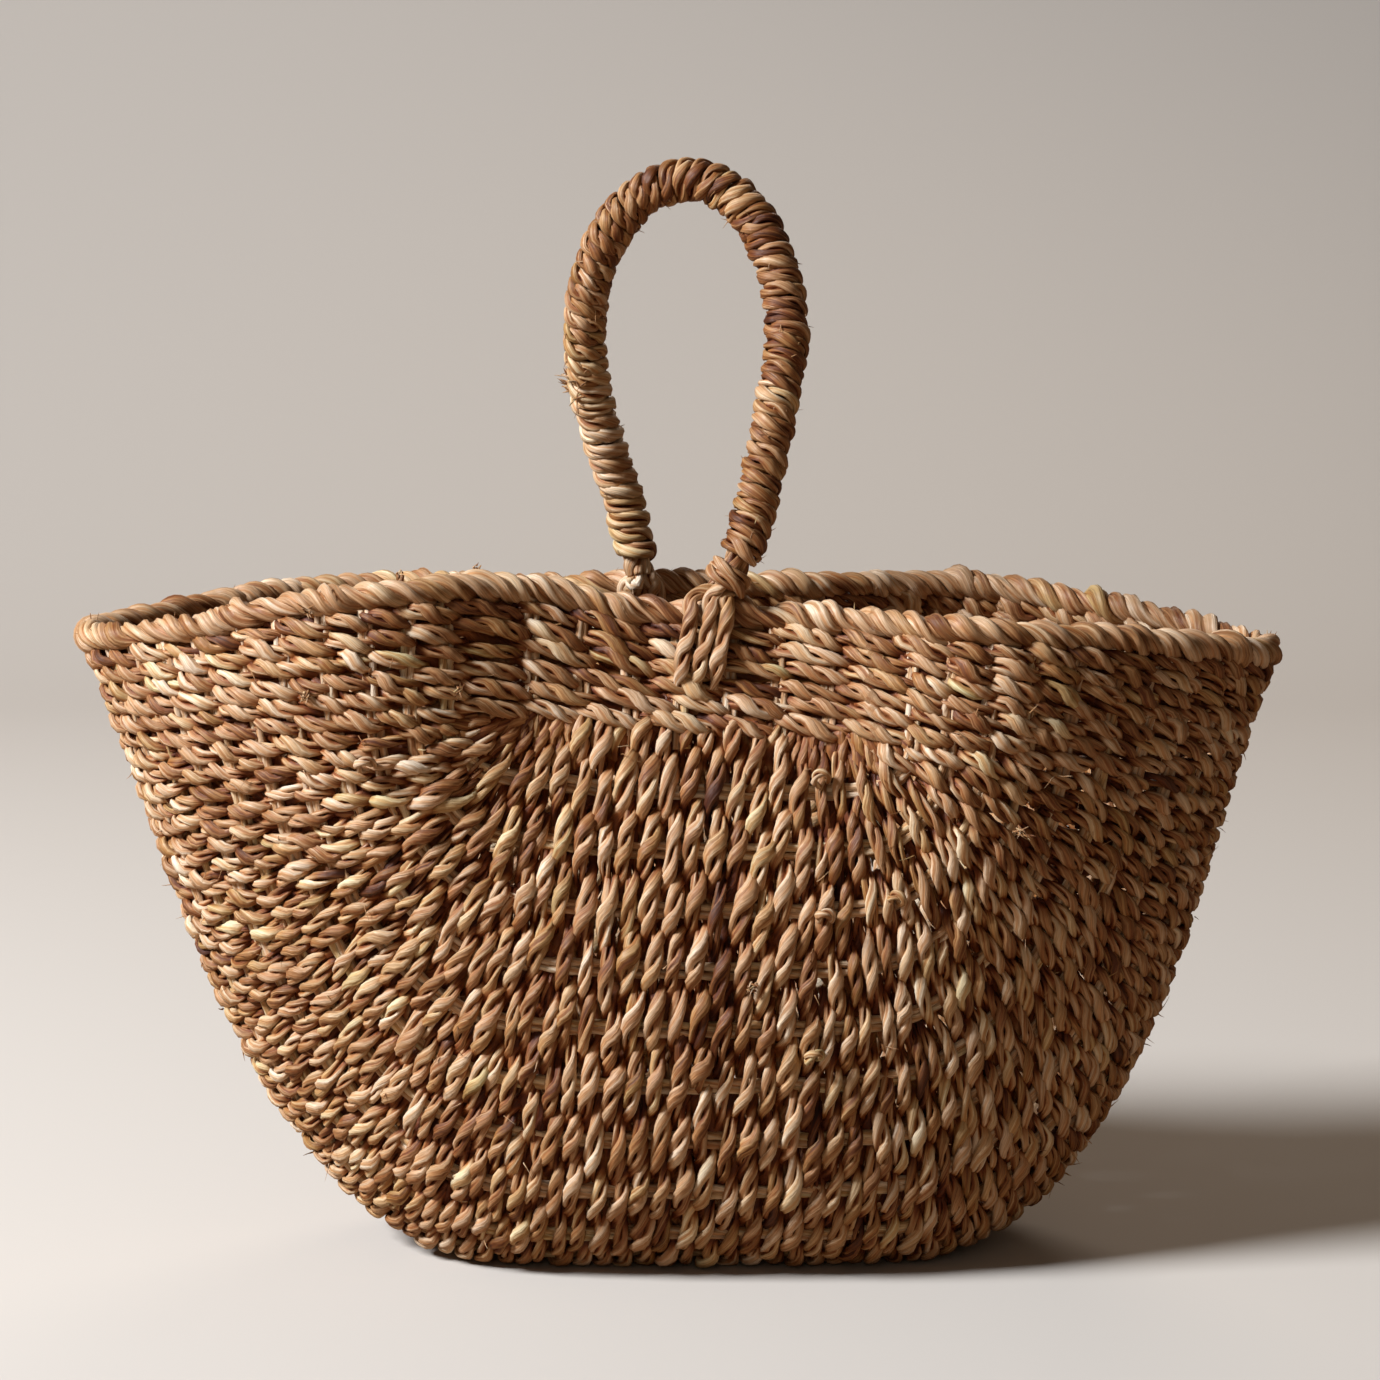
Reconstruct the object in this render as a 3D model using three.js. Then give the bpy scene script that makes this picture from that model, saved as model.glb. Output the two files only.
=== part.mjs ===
// Fruit picking basket: a boat-shaped basket of twined seagrass cord with one looped handle.
// Millimetres, +Z up, +X along the length, the front faces -Y.
// The origin is on the table, under the middle of the mouth.
import * as THREE from "three";

// The mouth
const rimLength = 490; // tip to tip, outside the rim rope
const rimRopeRadius = 5.5;
const rimHeight = 264; // centre of the rim rope at the middle of the mouth
const tipHeight = 245.5; // the same at the two tips, on average
const tipTilt = 3.5; // the left tip stands this much higher, the right one lower
const mouthHalfDepth = 55; // middle of the mouth, to the centre of the rim rope
const frontLift = 13; // the front rim humps up left of the handle
const backDip = 4; // the back rim sags behind that hump
const humpX = -112;
const humpHalfLength = 78;

// The body
const bodyHalfDepth = 89; // at its widest, to the middle of the wall
const widestHeight = 115;
const baseHalfDepth = 42; // the flat strip that the basket stands on
const panelHalfLength = 77; // the middle panel, whose rows run front to back
const keelFlat = 21.5; // the keel runs on flat past the panel, then turns up
const kneeReach = 180; // where the turned-up keel straightens
const kneeHeight = 80;
const waistShare = 0.45; // how much the handle draws the mouth in
const waistHalfLength = 95;
const tipPinch = 0.35; // how much the mouth narrows towards the tips
const bodyLean = 8; // the whole body leans to the right by this at its base

// How far the handles of each bend reach, in shares of what the bend spans.
const keelLeaves = 0.46; // level, off the flat of the keel
const kneeMeets = [0.21, 0.41];
const kneeLeaves = [0.155, 0.305];
const tipMeets = [0.11, 0.25];
const baseLeaves = 0.55; // level, off the flat base
const widestMeets = 0.56; // upright, below the widest place
const widestLeaves = 0.37; // upright, above it
const rimMeets = [-0.05, 0.26];
const flatEnds = 0.5; // share of the way up where the panel's straight run has gone
const waistStarts = 0.47; // share of the way up where the waist begins

// The weave: ribs between an outer and an inner layer of weft
const ribCount = 23;
const ribRadius = 1.7;
const weftThickness = 2.4;
const weaveGap = 0.9; // between a rib and each layer
const bandHeight = 47; // the band of level rows under the rim
const stakeSpaces = 4; // spaces between the short stakes in the band, over the panel

// The handle, its bindings and its lashings
const cordRadius = 1.9;
const wrapRadius = 2;
const wrapClearance = 0.9; // between the wrapping and the cords inside it
const wrapTurns = 19; // in each of the three wrappings
const wrapPieces = 3;
const wrapParting = 6; // from the last turn of one wrapping to the first of the next
const wrapStartBack = 11; // along the handle, from its back end
const wrapStartFront = 16; // the same from its front end
const neckLength = 5.4; // the bare cords under each end of the wrapping
const bindingTurns = 2;
const bindingRise = 2; // from the lower end of the bound cords to the binding
const lashingDrop = 20; // how far the lashings run down over the weave
const clearance = 0.35; // between pieces that touch

// Steps of the faceted shapes
const rowSteps = 7;
const ropeSides = 6;
const cordSides = 5;
const ribSides = 4;
const turnSteps = 8;
const handleSteps = 40;

const wallHalf = ribRadius + weaveGap + weftThickness;
const tipX = rimLength / 2 - rimRopeRadius;
const baseZ = wallHalf;

const clamp01 = (v) => Math.min(1, Math.max(0, v));
const smooth = (v) => clamp01(v) ** 2 * (3 - 2 * clamp01(v));

// The keel, from the panel's edge to the tip, and the side, from the keel to the rim.
// A path's x is the distance from the middle and its y is the height.
const bezier = (path, from, out, into, to) =>
  path.bezierCurveTo(from[0] + out[0], from[1] + out[1], to[0] - into[0], to[1] - into[1], to[0], to[1]);

function keelPath() {
  const start = [panelHalfLength + keelFlat, baseZ];
  const knee = [kneeReach, kneeHeight];
  const tip = [tipX, tipHeight];
  const bend = kneeReach - start[0];
  const rise = tipHeight - kneeHeight;
  const path = new THREE.Path().moveTo(panelHalfLength, baseZ).lineTo(...start);
  bezier(path, start, [bend * keelLeaves, 0], kneeMeets.map((v) => bend * v), knee);
  return bezier(path, knee, kneeLeaves.map((v) => rise * v), tipMeets.map((v) => rise * v), tip);
}

function sidePath() {
  const start = [baseHalfDepth, baseZ];
  const widest = [bodyHalfDepth, widestHeight];
  const rim = [mouthHalfDepth, rimHeight];
  const lower = widestHeight - baseZ;
  const upper = rimHeight - widestHeight;
  const path = new THREE.Path().moveTo(0, baseZ).lineTo(...start);
  const flare = bodyHalfDepth - baseHalfDepth;
  bezier(path, start, [flare * baseLeaves, 0], [0, lower * widestMeets], widest);
  return bezier(path, widest, [0, upper * widestLeaves], rimMeets.map((v) => upper * v), rim);
}

const keel = keelPath();
const side = sidePath();
const sideLength = side.getLength();
const rimAt = 1; // share of the way up the wall at the centre of the rim rope
const bandAt = 1 - bandHeight / sideLength; // the same at the foot of the band

// The wall is a map of a flat oval: p along the length and q across it, in shares of the
// way up the wall. The middle of the oval, as long as the panel, is the panel itself.
const panelShare = panelHalfLength / sideLength;

function wallPoint(p, q) {
  const beyond = Math.max(Math.abs(p) - panelShare, 0);
  const up = Math.hypot(beyond, q);
  const share = Math.min(up, rimAt);
  const onKeel = keel.getPointAt(share);
  const onSide = side.getPointAt(share);
  const outwards = up > 0 ? beyond / up : 0;
  const reach = Math.abs(p) > panelShare
    ? panelHalfLength + (onKeel.x - panelHalfLength) * outwards
    : (Math.abs(p) / panelShare) * panelHalfLength;
  let x = Math.sign(p) * reach;
  const flat = panelHalfLength * (1 - smooth(share / flatEnds));
  const xi = clamp01((reach - flat) / Math.max(onKeel.x - flat, 1e-6));
  const waist = waistShare * smooth((share - waistStarts) / (1 - waistStarts));
  const round = Math.sqrt(Math.max(1 - xi * xi, 0)) * (1 - tipPinch * share * xi ** 4);
  const drawnIn = 1 - waist * Math.exp(-((x / waistHalfLength) ** 4));
  const y = Math.sign(q) * (onSide.x / (1 - waist)) * round * drawnIn;
  let z = onKeel.y + (onSide.y - onKeel.y) * (1 - xi ** 3);
  const height = clamp01((z - baseZ) / (rimHeight - baseZ));
  const hump = Math.exp(-(((x - humpX) / humpHalfLength) ** 4));
  z += height ** 3 * hump * (q < 0 ? frontLift : -backDip) * round;
  z -= (height ** 2 * tipTilt * x) / tipX;
  x += bodyLean * Math.max(0, 1 - z / (tipHeight - tipTilt));
  return new THREE.Vector3(x, y, z);
}

// The way out of the basket at a point of the wall.
function wallNormal(p, q) {
  const h = 0.004;
  const up = Math.hypot(Math.max(Math.abs(p) - panelShare, 0), q);
  const s = up > rimAt - h ? (rimAt - 1.5 * h) / up : 1;
  const pc = Math.abs(p) > panelShare
    ? Math.sign(p) * (panelShare + (Math.abs(p) - panelShare) * s)
    : p;
  const qc = q * s;
  const along = wallPoint(pc + h, qc).sub(wallPoint(pc - h, qc));
  const across = wallPoint(pc, qc + h).sub(wallPoint(pc, qc - h));
  return across.cross(along).normalize();
}

const offWall = (p, q, off) => wallPoint(p, q).addScaledVector(wallNormal(p, q), off);

// A closed mesh from triangles of corner positions, with doubled corners joined.
function solid(triangles) {
  const index = new Map();
  const position = [];
  const key = (v) => [v.x, v.y, v.z].map((n) => Math.round(n * 2000)).join();
  const id = (v) => {
    const k = key(v);
    if (!index.has(k)) {
      index.set(k, position.length / 3);
      position.push(v.x, v.y, v.z);
    }
    return index.get(k);
  };
  const faces = [];
  let volume = 0;
  for (const [a, b, c] of triangles) {
    const [i, j, k] = [id(a), id(b), id(c)];
    if (i === j || j === k || k === i) continue;
    faces.push(i, j, k);
    volume += a.dot(b.clone().cross(c));
  }
  if (volume < 0) faces.reverse();
  const geometry = new THREE.BufferGeometry();
  geometry.setAttribute("position", new THREE.Float32BufferAttribute(position, 3));
  geometry.setIndex(faces);
  geometry.computeVertexNormals();
  return geometry;
}

const quad = (a, b, c, d) => [[a, b, c], [a, c, d]];

// One layer of weft between two distances off the wall, over a grid of oval points.
function layer(grid, low, high, ring = false) {
  const outer = grid.map((row) => row.map(([p, q]) => offWall(p, q, high)));
  const inner = grid.map((row) => row.map(([p, q]) => offWall(p, q, low)));
  const rows = grid.length;
  const columns = grid[0].length;
  const triangles = [];
  const next = (j) => (j + 1) % columns;
  const spans = ring ? columns : columns - 1;
  for (let i = 0; i < rows - 1; i += 1) {
    for (let j = 0; j < spans; j += 1) {
      const k = next(j);
      triangles.push(...quad(outer[i][j], outer[i][k], outer[i + 1][k], outer[i + 1][j]));
      triangles.push(...quad(inner[i][k], inner[i][j], inner[i + 1][j], inner[i + 1][k]));
    }
  }
  for (let j = 0; j < spans; j += 1) {
    const k = next(j);
    const last = rows - 1;
    triangles.push(...quad(inner[0][j], inner[0][k], outer[0][k], outer[0][j]));
    triangles.push(...quad(outer[last][j], outer[last][k], inner[last][k], inner[last][j]));
  }
  if (!ring) {
    for (let i = 0; i < rows - 1; i += 1) {
      const last = columns - 1;
      triangles.push(...quad(outer[i][0], outer[i + 1][0], inner[i + 1][0], inner[i][0]));
      triangles.push(
        ...quad(inner[i][last], inner[i + 1][last], outer[i + 1][last], outer[i][last]));
    }
  }
  return solid(triangles);
}

// Directions across a curve that turn with it and never twist about it.
function framesAlong(points, closed) {
  const n = points.length;
  const tangents = points.map((v, i) => {
    const before = closed ? points[(i + n - 1) % n] : points[Math.max(i - 1, 0)];
    const after = closed ? points[(i + 1) % n] : points[Math.min(i + 1, n - 1)];
    return after.clone().sub(before).normalize();
  });
  const lead = Math.abs(tangents[0].y) < 0.8 ? new THREE.Vector3(0, 1, 0) : new THREE.Vector3(0, 0, 1);
  let normal = lead.addScaledVector(tangents[0], -lead.dot(tangents[0])).normalize();
  return tangents.map((t) => {
    normal = normal.clone().addScaledVector(t, -normal.dot(t)).normalize();
    return { t, n: normal, b: t.clone().cross(normal) };
  });
}

// A round cord along points. Where normals are given, the section's corners keep to them.
function cord(points, radius, sides, { closed = false, normals = null } = {}) {
  const frames = framesAlong(points, closed);
  const rings = points.map((v, i) => {
    const { t, n, b } = frames[i];
    const u = normals ? normals[i].clone().addScaledVector(t, -normals[i].dot(t)).normalize() : n;
    const w = normals ? t.clone().cross(u) : b;
    return Array.from({ length: sides }, (_, k) => {
      const a = (2 * Math.PI * k) / sides;
      return v.clone().addScaledVector(u, radius * Math.cos(a)).addScaledVector(w, radius * Math.sin(a));
    });
  });
  const triangles = [];
  const spans = closed ? rings.length : rings.length - 1;
  for (let i = 0; i < spans; i += 1) {
    const here = rings[i];
    const there = rings[(i + 1) % rings.length];
    for (let k = 0; k < sides; k += 1) {
      const m = (k + 1) % sides;
      triangles.push(...quad(here[k], here[m], there[m], there[k]));
    }
  }
  if (!closed) {
    const last = rings.length - 1;
    for (let k = 1; k < sides - 1; k += 1) {
      triangles.push([rings[0][0], rings[0][k + 1], rings[0][k]]);
      triangles.push([rings[last][0], rings[last][k], rings[last][k + 1]]);
    }
  }
  return solid(triangles);
}

const colours = { weft: 0xb0895a, rib: 0x9a7446, rim: 0xb8905c, wrap: 0xa67c4e, cord: 0xc2a06c };
const basket = new THREE.Group();

function add(name, geometry, colour) {
  const material = new THREE.MeshStandardMaterial({ color: colour, roughness: 0.85, metalness: 0 });
  const mesh = new THREE.Mesh(geometry, material);
  mesh.name = name;
  basket.add(mesh);
}

// Ribs run the length of the basket: up from the left end of the rim, down the end, along
// under the panel and up the right end. A rib's place across the panel also sets the arc
// that it follows over each end, so ribs and rows cross squarely.
const ribAcross = Array.from({ length: ribCount }, (_, i) => -1 + (2 * (i + 1)) / (ribCount + 1));
const arcOf = (across) => 2 * Math.atan(across);

function endPoint(arc, row, sign, gap = 0) {
  const spread = 1 + Math.cos(arc) * Math.cos(row);
  const p = panelShare + gap + (bandAt * Math.cos(arc) * Math.sin(row)) / spread;
  return [sign * p, (bandAt * Math.sin(arc)) / spread];
}

const rowAngles = Array.from({ length: rowSteps + 1 }, (_, i) => (i * Math.PI) / 2 / rowSteps);
const panelPlaces = Array.from({ length: stakeSpaces + 1 }, (_, i) => -1 + (2 * i) / stakeSpaces);
const bandPoint = (arc, up, sign) => [sign * (panelShare + up * Math.cos(arc)), up * Math.sin(arc)];
const seam = clearance / sideLength;
const rimStop = 1 - (rimRopeRadius + clearance + 0.4) / sideLength;

ribAcross.forEach((across, i) => {
  const arc = arcOf(across);
  const way = [bandPoint(arc, rimStop, -1)];
  for (const row of [...rowAngles].reverse()) way.push(endPoint(arc, row, -1));
  for (const place of panelPlaces.slice(1, -1)) way.push([place * panelShare, across * bandAt]);
  for (const row of rowAngles) way.push(endPoint(arc, row, 1));
  way.push(bandPoint(arc, rimStop, 1));
  const points = way.map(([p, q]) => wallPoint(p, q));
  const normals = way.map(([p, q]) => wallNormal(p, q));
  const name = "rib_" + String(i + 1).padStart(2, "0");
  add(name, cord(points, ribRadius, ribSides, { normals }), colours.rib);
});

// The weft: the middle panel, the two ends and the band, each an outer and an inner layer.
const acrossAll = [-1, ...ribAcross, 1];
const layers = {
  outer: [ribRadius + weaveGap, wallHalf],
  inner: [-wallHalf, -ribRadius - weaveGap],
};
const panelGrid = acrossAll.map((across) =>
  panelPlaces.map((place) => [place * (panelShare - seam), across * (bandAt - seam / 2)]));
const endGrid = (sign) =>
  acrossAll.map((across) => rowAngles.map((row) => endPoint(arcOf(across), row, sign)));

// Once round the mouth: the right end, the back, the left end and the front.
const roundMouth = (up) => {
  const stakes = Array.from({ length: stakeSpaces - 1 }, (_, i) => 1 - (2 * (i + 1)) / stakeSpaces);
  return [
    ...acrossAll.map((across) => bandPoint(arcOf(across), up, 1)),
    ...stakes.map((place) => [place * panelShare, up]),
    ...[...acrossAll].reverse().map((across) => bandPoint(arcOf(across), up, -1)),
    ...stakes.map((place) => [-place * panelShare, -up]),
  ];
};
const bandGrid = [bandAt + seam, rimStop].map(roundMouth);

for (const [name, [low, high]] of Object.entries(layers)) {
  add("weft_panel_" + name, layer(panelGrid, low, high), colours.weft);
  add("weft_left_end_" + name, layer(endGrid(-1), low, high), colours.weft);
  add("weft_right_end_" + name, layer(endGrid(1), low, high), colours.weft);
  add("weft_band_" + name, layer(bandGrid, low, high, true), colours.weft);
}

// Short stakes carry the band over the panel, where no rib comes up.
for (let i = 1; i < stakeSpaces; i += 1) {
  const p = (-1 + (2 * i) / stakeSpaces) * panelShare;
  for (const [place, sign] of [["front", -1], ["back", 1]]) {
    const way = [[p, sign * (bandAt + seam)], [p, sign * rimStop]];
    const points = way.map(([a, b]) => wallPoint(a, b));
    const normals = way.map(([a, b]) => wallNormal(a, b));
    add("stake_" + place + "_" + i, cord(points, ribRadius, ribSides, { normals }), colours.rib);
  }
}

const rimLoop = roundMouth(rimAt).map(([p, q]) => wallPoint(p, q));
add("rim_rope", cord(rimLoop, rimRopeRadius, ropeSides, { closed: true }), colours.rim);

// The handle's middle line, from the back rim over the top to the front rim. The two end
// points are set by the rim rope that the handle is lashed to.
const backFootX = -16.5;
const frontFootX = 17;
const rimNear = (x, sign) => wallPoint((x / panelHalfLength) * panelShare, sign * rimAt);
const beside = rimRopeRadius + cordRadius + clearance + 0.3;
const backFootRise = 2; // above the middle of the back rim rope
const frontFootOut = 1.5; // in front of the middle of the front rim rope
const frontFootRise = 11.5;
const offset = (y, z) => new THREE.Vector3(0, y, z);
const backFoot = rimNear(backFootX, 1).add(offset(-beside - cordRadius, backFootRise));
const frontFoot = rimNear(frontFootX, -1).add(offset(-frontFootOut, frontFootRise));
const loop = [
  [-23, 46, 298], [-33.5, 37, 328.5], [-41.5, 25.5, 359], [-39.5, 15, 389.5], [-27.5, 7, 415],
  [-10, 2, 430.5], [10, -3.5, 433], [28.5, -10, 421], [40, -18, 398], [44, -27, 371.5],
  [39.5, -38, 344], [33.5, -46, 316], [27, -53, 293],
];
const handleLine = new THREE.CatmullRomCurve3(
  [backFoot, ...loop.map((v) => new THREE.Vector3(...v)), frontFoot], false, "centripetal");
const handleLength = handleLine.getLength();

// Even steps along the handle, with directions across it.
const fineSteps = 720;
const fine = Array.from({ length: fineSteps + 1 }, (_, i) => handleLine.getPointAt(i / fineSteps));
const fineFrames = framesAlong(fine, false);

// A point beside the handle's middle line, at a distance along it and an angle round it.
function besideLine(distance, away, angle) {
  const i = Math.min(Math.max((distance / handleLength) * fineSteps, 0), fineSteps);
  const a = Math.floor(i);
  const b = Math.min(a + 1, fineSteps);
  const centre = fine[a].clone().lerp(fine[b], i - a);
  const n = fineFrames[a].n.clone().lerp(fineFrames[b].n, i - a).normalize();
  const w = fineFrames[a].b.clone().lerp(fineFrames[b].b, i - a).normalize();
  return centre.addScaledVector(n, away * Math.cos(angle)).addScaledVector(w, away * Math.sin(angle));
}

// Least gap of a wound cord to itself, measured on points along its middle.
function leastGap(points, radius, stepsPerTurn) {
  const dense = points.flatMap((v, i) =>
    i + 1 < points.length ? [v, v.clone().lerp(points[i + 1], 0.5)] : [v]);
  let least = Infinity;
  for (let i = 0; i < dense.length; i += 1)
    for (let j = i + stepsPerTurn; j < dense.length; j += 1)
      least = Math.min(least, dense[i].distanceTo(dense[j]));
  return least - 2 * radius;
}

// A cord wound round the handle as one unbroken tube, as a left-handed screw.
function winding(name, from, to, turns, away, colour) {
  const steps = turns * turnSteps;
  const points = Array.from({ length: steps + 1 }, (_, i) =>
    besideLine(from + ((to - from) * i) / steps, away, (-2 * Math.PI * i) / turnSteps));
  console.log(name + " least gap " + leastGap(points, wrapRadius, turnSteps).toFixed(2) + " mm");
  add(name, cord(points, wrapRadius, cordSides), colour);
}

// Three cords lie together inside the wrapping. Below it they are bare for a short neck,
// where the handle can lean, and below that they are the lashings.
const coreCords = 3;
const coreAway = (cordRadius + clearance / 2) / Math.sin(Math.PI / coreCords);
const coreTurn = Math.PI / 6; // where the first cord lies at the back end
const coreTwist = -0.25; // how far the cords turn about each other from end to end
const coreAngle = (k, distance) =>
  (2 * Math.PI * k) / coreCords + coreTurn + (coreTwist * distance) / handleLength;
const coreAtPoint = (distance, k) => besideLine(distance, coreAway, coreAngle(k, distance));
const wrapFrom = wrapStartBack;
const wrapTo = handleLength - wrapStartFront;
const neckCut = clearance;

function straightCord(from, to, k, steps) {
  return Array.from({ length: steps + 1 }, (_, i) =>
    coreAtPoint(from + ((to - from) * i) / steps, k));
}

for (let k = 0; k < coreCords; k += 1) {
  const points = straightCord(wrapFrom, wrapTo, k, handleSteps);
  add("handle_core_" + (k + 1), cord(points, cordRadius, cordSides), colours.cord);
}

const wrapAway = coreAway + cordRadius + wrapClearance + wrapRadius;
const wrapNames = ["handle_wrap_back", "handle_wrap_top", "handle_wrap_front"];
const wrapRun = (wrapTo - wrapFrom - 2 * wrapRadius - (wrapPieces - 1) * wrapParting) / wrapPieces;
wrapNames.forEach((name, i) => {
  const from = wrapFrom + wrapRadius + i * (wrapRun + wrapParting);
  winding(name, from, from + wrapRun, wrapTurns, wrapAway, colours.wrap);
});

const neckBack = wrapFrom - neckLength;
const neckFront = wrapTo + neckLength;
for (let k = 0; k < coreCords; k += 1) {
  const back = straightCord(neckBack, wrapFrom - neckCut, k, 2);
  add("neck_back_" + (k + 1), cord(back, cordRadius, cordSides), colours.cord);
  const front = straightCord(wrapTo + neckCut, neckFront, k, 2);
  add("neck_front_" + (k + 1), cord(front, cordRadius, cordSides), colours.cord);
}

// Lashings: the front ones come out of the binding and splay over the outside of the rim,
// and the back ones run down the inside of the back rim.
const lashingSpread = { front: [2, 8.5, 16.5], back: [-24, -16.5, -9] };
const lashingOff = wallHalf + cordRadius + clearance + 0.5;
const shoulderOut = 0.75; // the front ones round the rim's shoulder here, in shares of `beside`
const shoulderRise = 0.8;
const overRim = 0.4; // both stand this much further off the rim rope at its middle
const firstDrop = 0.6; // share of the drop where they lie on the weave

function lashing(place, k) {
  const front = place === "front";
  const sign = front ? -1 : 1;
  const end = front ? handleLength : 0;
  const order = [...Array(coreCords).keys()].sort((a, b) => {
    return coreAtPoint(end, a).x - coreAtPoint(end, b).x;
  });
  const x = lashingSpread[place][order.indexOf(k)];
  const start = front ? neckFront + neckCut : neckBack - neckCut;
  const points = [coreAtPoint(start, k), coreAtPoint(end, k)];
  const rope = rimNear(x, sign);
  if (front) points.push(rope.clone().add(offset(-beside * shoulderOut, beside * shoulderRise)));
  points.push(rope.clone().add(offset(-beside - overRim, 0)));
  const down = (drop) => {
    const p = (x / panelHalfLength) * panelShare;
    return offWall(p, sign * (1 - drop / sideLength), front ? lashingOff : -lashingOff);
  };
  points.push(down(lashingDrop * firstDrop), down(lashingDrop));
  return points;
}

for (const place of ["front", "back"])
  for (let k = 0; k < coreCords; k += 1)
    add("lashing_" + place + "_" + (k + 1),
      cord(lashing(place, k), cordRadius, cordSides), colours.cord);

const bindingEnd = handleLength - bindingRise;
const bindingPitch = 2 * wrapRadius + 0.6;
const bindingStart = bindingEnd - bindingTurns * bindingPitch;
winding("front_binding", bindingStart, bindingEnd, bindingTurns, wrapAway, colours.wrap);

export default basket;
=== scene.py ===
# %% [markdown]
# # A fruit picking basket of twined cord
# The real basket is twined: pairs of twisted seagrass strands pass in front of and behind
# ribs of thinner cord, and cross each other between the ribs. It has a rope round its mouth
# and one looped handle, wrapped with cord and lashed to the front and the back of the rim.
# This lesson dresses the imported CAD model: first the frame, the camera and the light, then
# the wall of the basket as a formula, then strands that run over that wall, and last the
# handle. The CAD model gives the wall, the rim and the handle's line, and the photograph
# tells how the rows of cord run over them.

import math

import bpy
import numpy as np
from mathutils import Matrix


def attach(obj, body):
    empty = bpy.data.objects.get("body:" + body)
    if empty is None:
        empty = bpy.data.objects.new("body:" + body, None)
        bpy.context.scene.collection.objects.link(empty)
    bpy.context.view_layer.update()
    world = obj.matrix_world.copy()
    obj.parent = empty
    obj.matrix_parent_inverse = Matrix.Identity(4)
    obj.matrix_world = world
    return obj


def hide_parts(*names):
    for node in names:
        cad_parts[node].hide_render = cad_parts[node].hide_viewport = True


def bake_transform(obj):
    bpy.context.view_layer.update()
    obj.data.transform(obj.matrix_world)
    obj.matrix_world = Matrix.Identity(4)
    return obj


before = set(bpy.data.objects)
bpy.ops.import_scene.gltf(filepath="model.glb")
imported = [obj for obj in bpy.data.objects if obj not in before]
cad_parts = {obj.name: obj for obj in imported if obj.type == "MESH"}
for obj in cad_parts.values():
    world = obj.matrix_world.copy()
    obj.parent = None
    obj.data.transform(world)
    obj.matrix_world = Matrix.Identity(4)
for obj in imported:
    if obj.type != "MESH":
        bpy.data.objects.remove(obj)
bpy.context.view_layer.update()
bpy.ops.object.select_all(action="DESELECT")

# %% [markdown]
# ## The camera
# The photograph looks slightly down on the basket from in front, and its upright lines stay
# parallel, which a camera does that is held nearly level and shifted down. A little of that
# shift is kept, and the rest is a small tilt. A long lens at 1.6 m keeps the shape calm.

# %% Camera
TILT_DOWN = 5.07  # degrees
camera_data = bpy.data.cameras.new("camera")
camera_data.lens = 103.2
camera_data.sensor_width = 36
camera_data.shift_y = -0.15
camera = bpy.data.objects.new("camera", camera_data)
camera.location = (0.0041, -1.6, 0.4530)
camera.rotation_euler = (math.radians(90 - TILT_DOWN), 0, 0)
bpy.context.scene.collection.objects.link(camera)
bpy.context.scene.camera = camera
print("camera at", tuple(round(v, 3) for v in camera.location))

# %% [markdown]
# ## Floor and backdrop
# A plain pale sweep: a floor whose back edge is extruded up and rounded, so that no corner
# shows behind the basket. It hides nothing and lets the basket's shadow tell where it stands.

# %% Floor and backdrop, in metres
FLOOR_LONG, FLOOR_DEEP, BACKDROP_HIGH, ROUNDED = 9, 6, 4, 1.5
NEAR_BACK = FLOOR_DEEP / 2 - 0.1  # what lies further back than this is the back edge

bpy.ops.mesh.primitive_plane_add(size=1, location=(0, 0, 0))
floor = bpy.context.object
floor.name = "floor"
floor.scale = (FLOOR_LONG, FLOOR_DEEP, 1)
bpy.ops.object.transform_apply(location=True, rotation=False, scale=True)
bpy.ops.object.mode_set(mode="EDIT")
bpy.ops.mesh.select_all(action="DESELECT")
bpy.ops.object.mode_set(mode="OBJECT")
for edge in floor.data.edges:
    edge.select = all(floor.data.vertices[i].co.y > NEAR_BACK for i in edge.vertices)
bpy.ops.object.mode_set(mode="EDIT")
bpy.ops.mesh.select_mode(type="EDGE")
bpy.ops.mesh.extrude_region_move(TRANSFORM_OT_translate={"value": (0, 0, BACKDROP_HIGH)})
bpy.ops.mesh.select_all(action="DESELECT")
bpy.ops.object.mode_set(mode="OBJECT")
for edge in floor.data.edges:
    edge.select = all(
        floor.data.vertices[i].co.y > NEAR_BACK and floor.data.vertices[i].co.z < 0.1
        for i in edge.vertices
    )
bpy.ops.object.mode_set(mode="EDIT")
bpy.ops.mesh.bevel(offset=ROUNDED, segments=24)
bpy.ops.object.mode_set(mode="OBJECT")
bpy.ops.object.shade_smooth()
print("floor faces:", len(floor.data.polygons))

# %% [markdown]
# ## The floor's two colours
# The camera sees a pale floor. What the floor throws back on the basket is darker and warmer,
# so that its shadow side stays deep, as in the photograph. Light Path tells the two apart.

# %% Floor material
SEEN = (0.58, 0.545, 0.505)  # what the camera sees
THROWN_BACK = (0.28, 0.180, 0.108)  # what lights the basket from below
floor_material = bpy.data.materials.new("pale_floor")
floor_material.use_nodes = True
floor_shader = floor_material.node_tree.nodes["Principled BSDF"]
floor_shader.inputs["Roughness"].default_value = 0.9
light_path = floor_material.node_tree.nodes.new("ShaderNodeLightPath")
floor_colour = floor_material.node_tree.nodes.new("ShaderNodeMix")
floor_colour.data_type = "RGBA"
floor_colour.inputs["A"].default_value = (*THROWN_BACK, 1)
floor_colour.inputs["B"].default_value = (*SEEN, 1)
join = floor_material.node_tree.links.new
join(light_path.outputs["Is Camera Ray"], floor_colour.inputs["Factor"])
join(floor_colour.outputs["Result"], floor_shader.inputs["Base Color"])
floor.data.materials.append(floor_material)
print("floor material:", floor_material.name)

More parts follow.
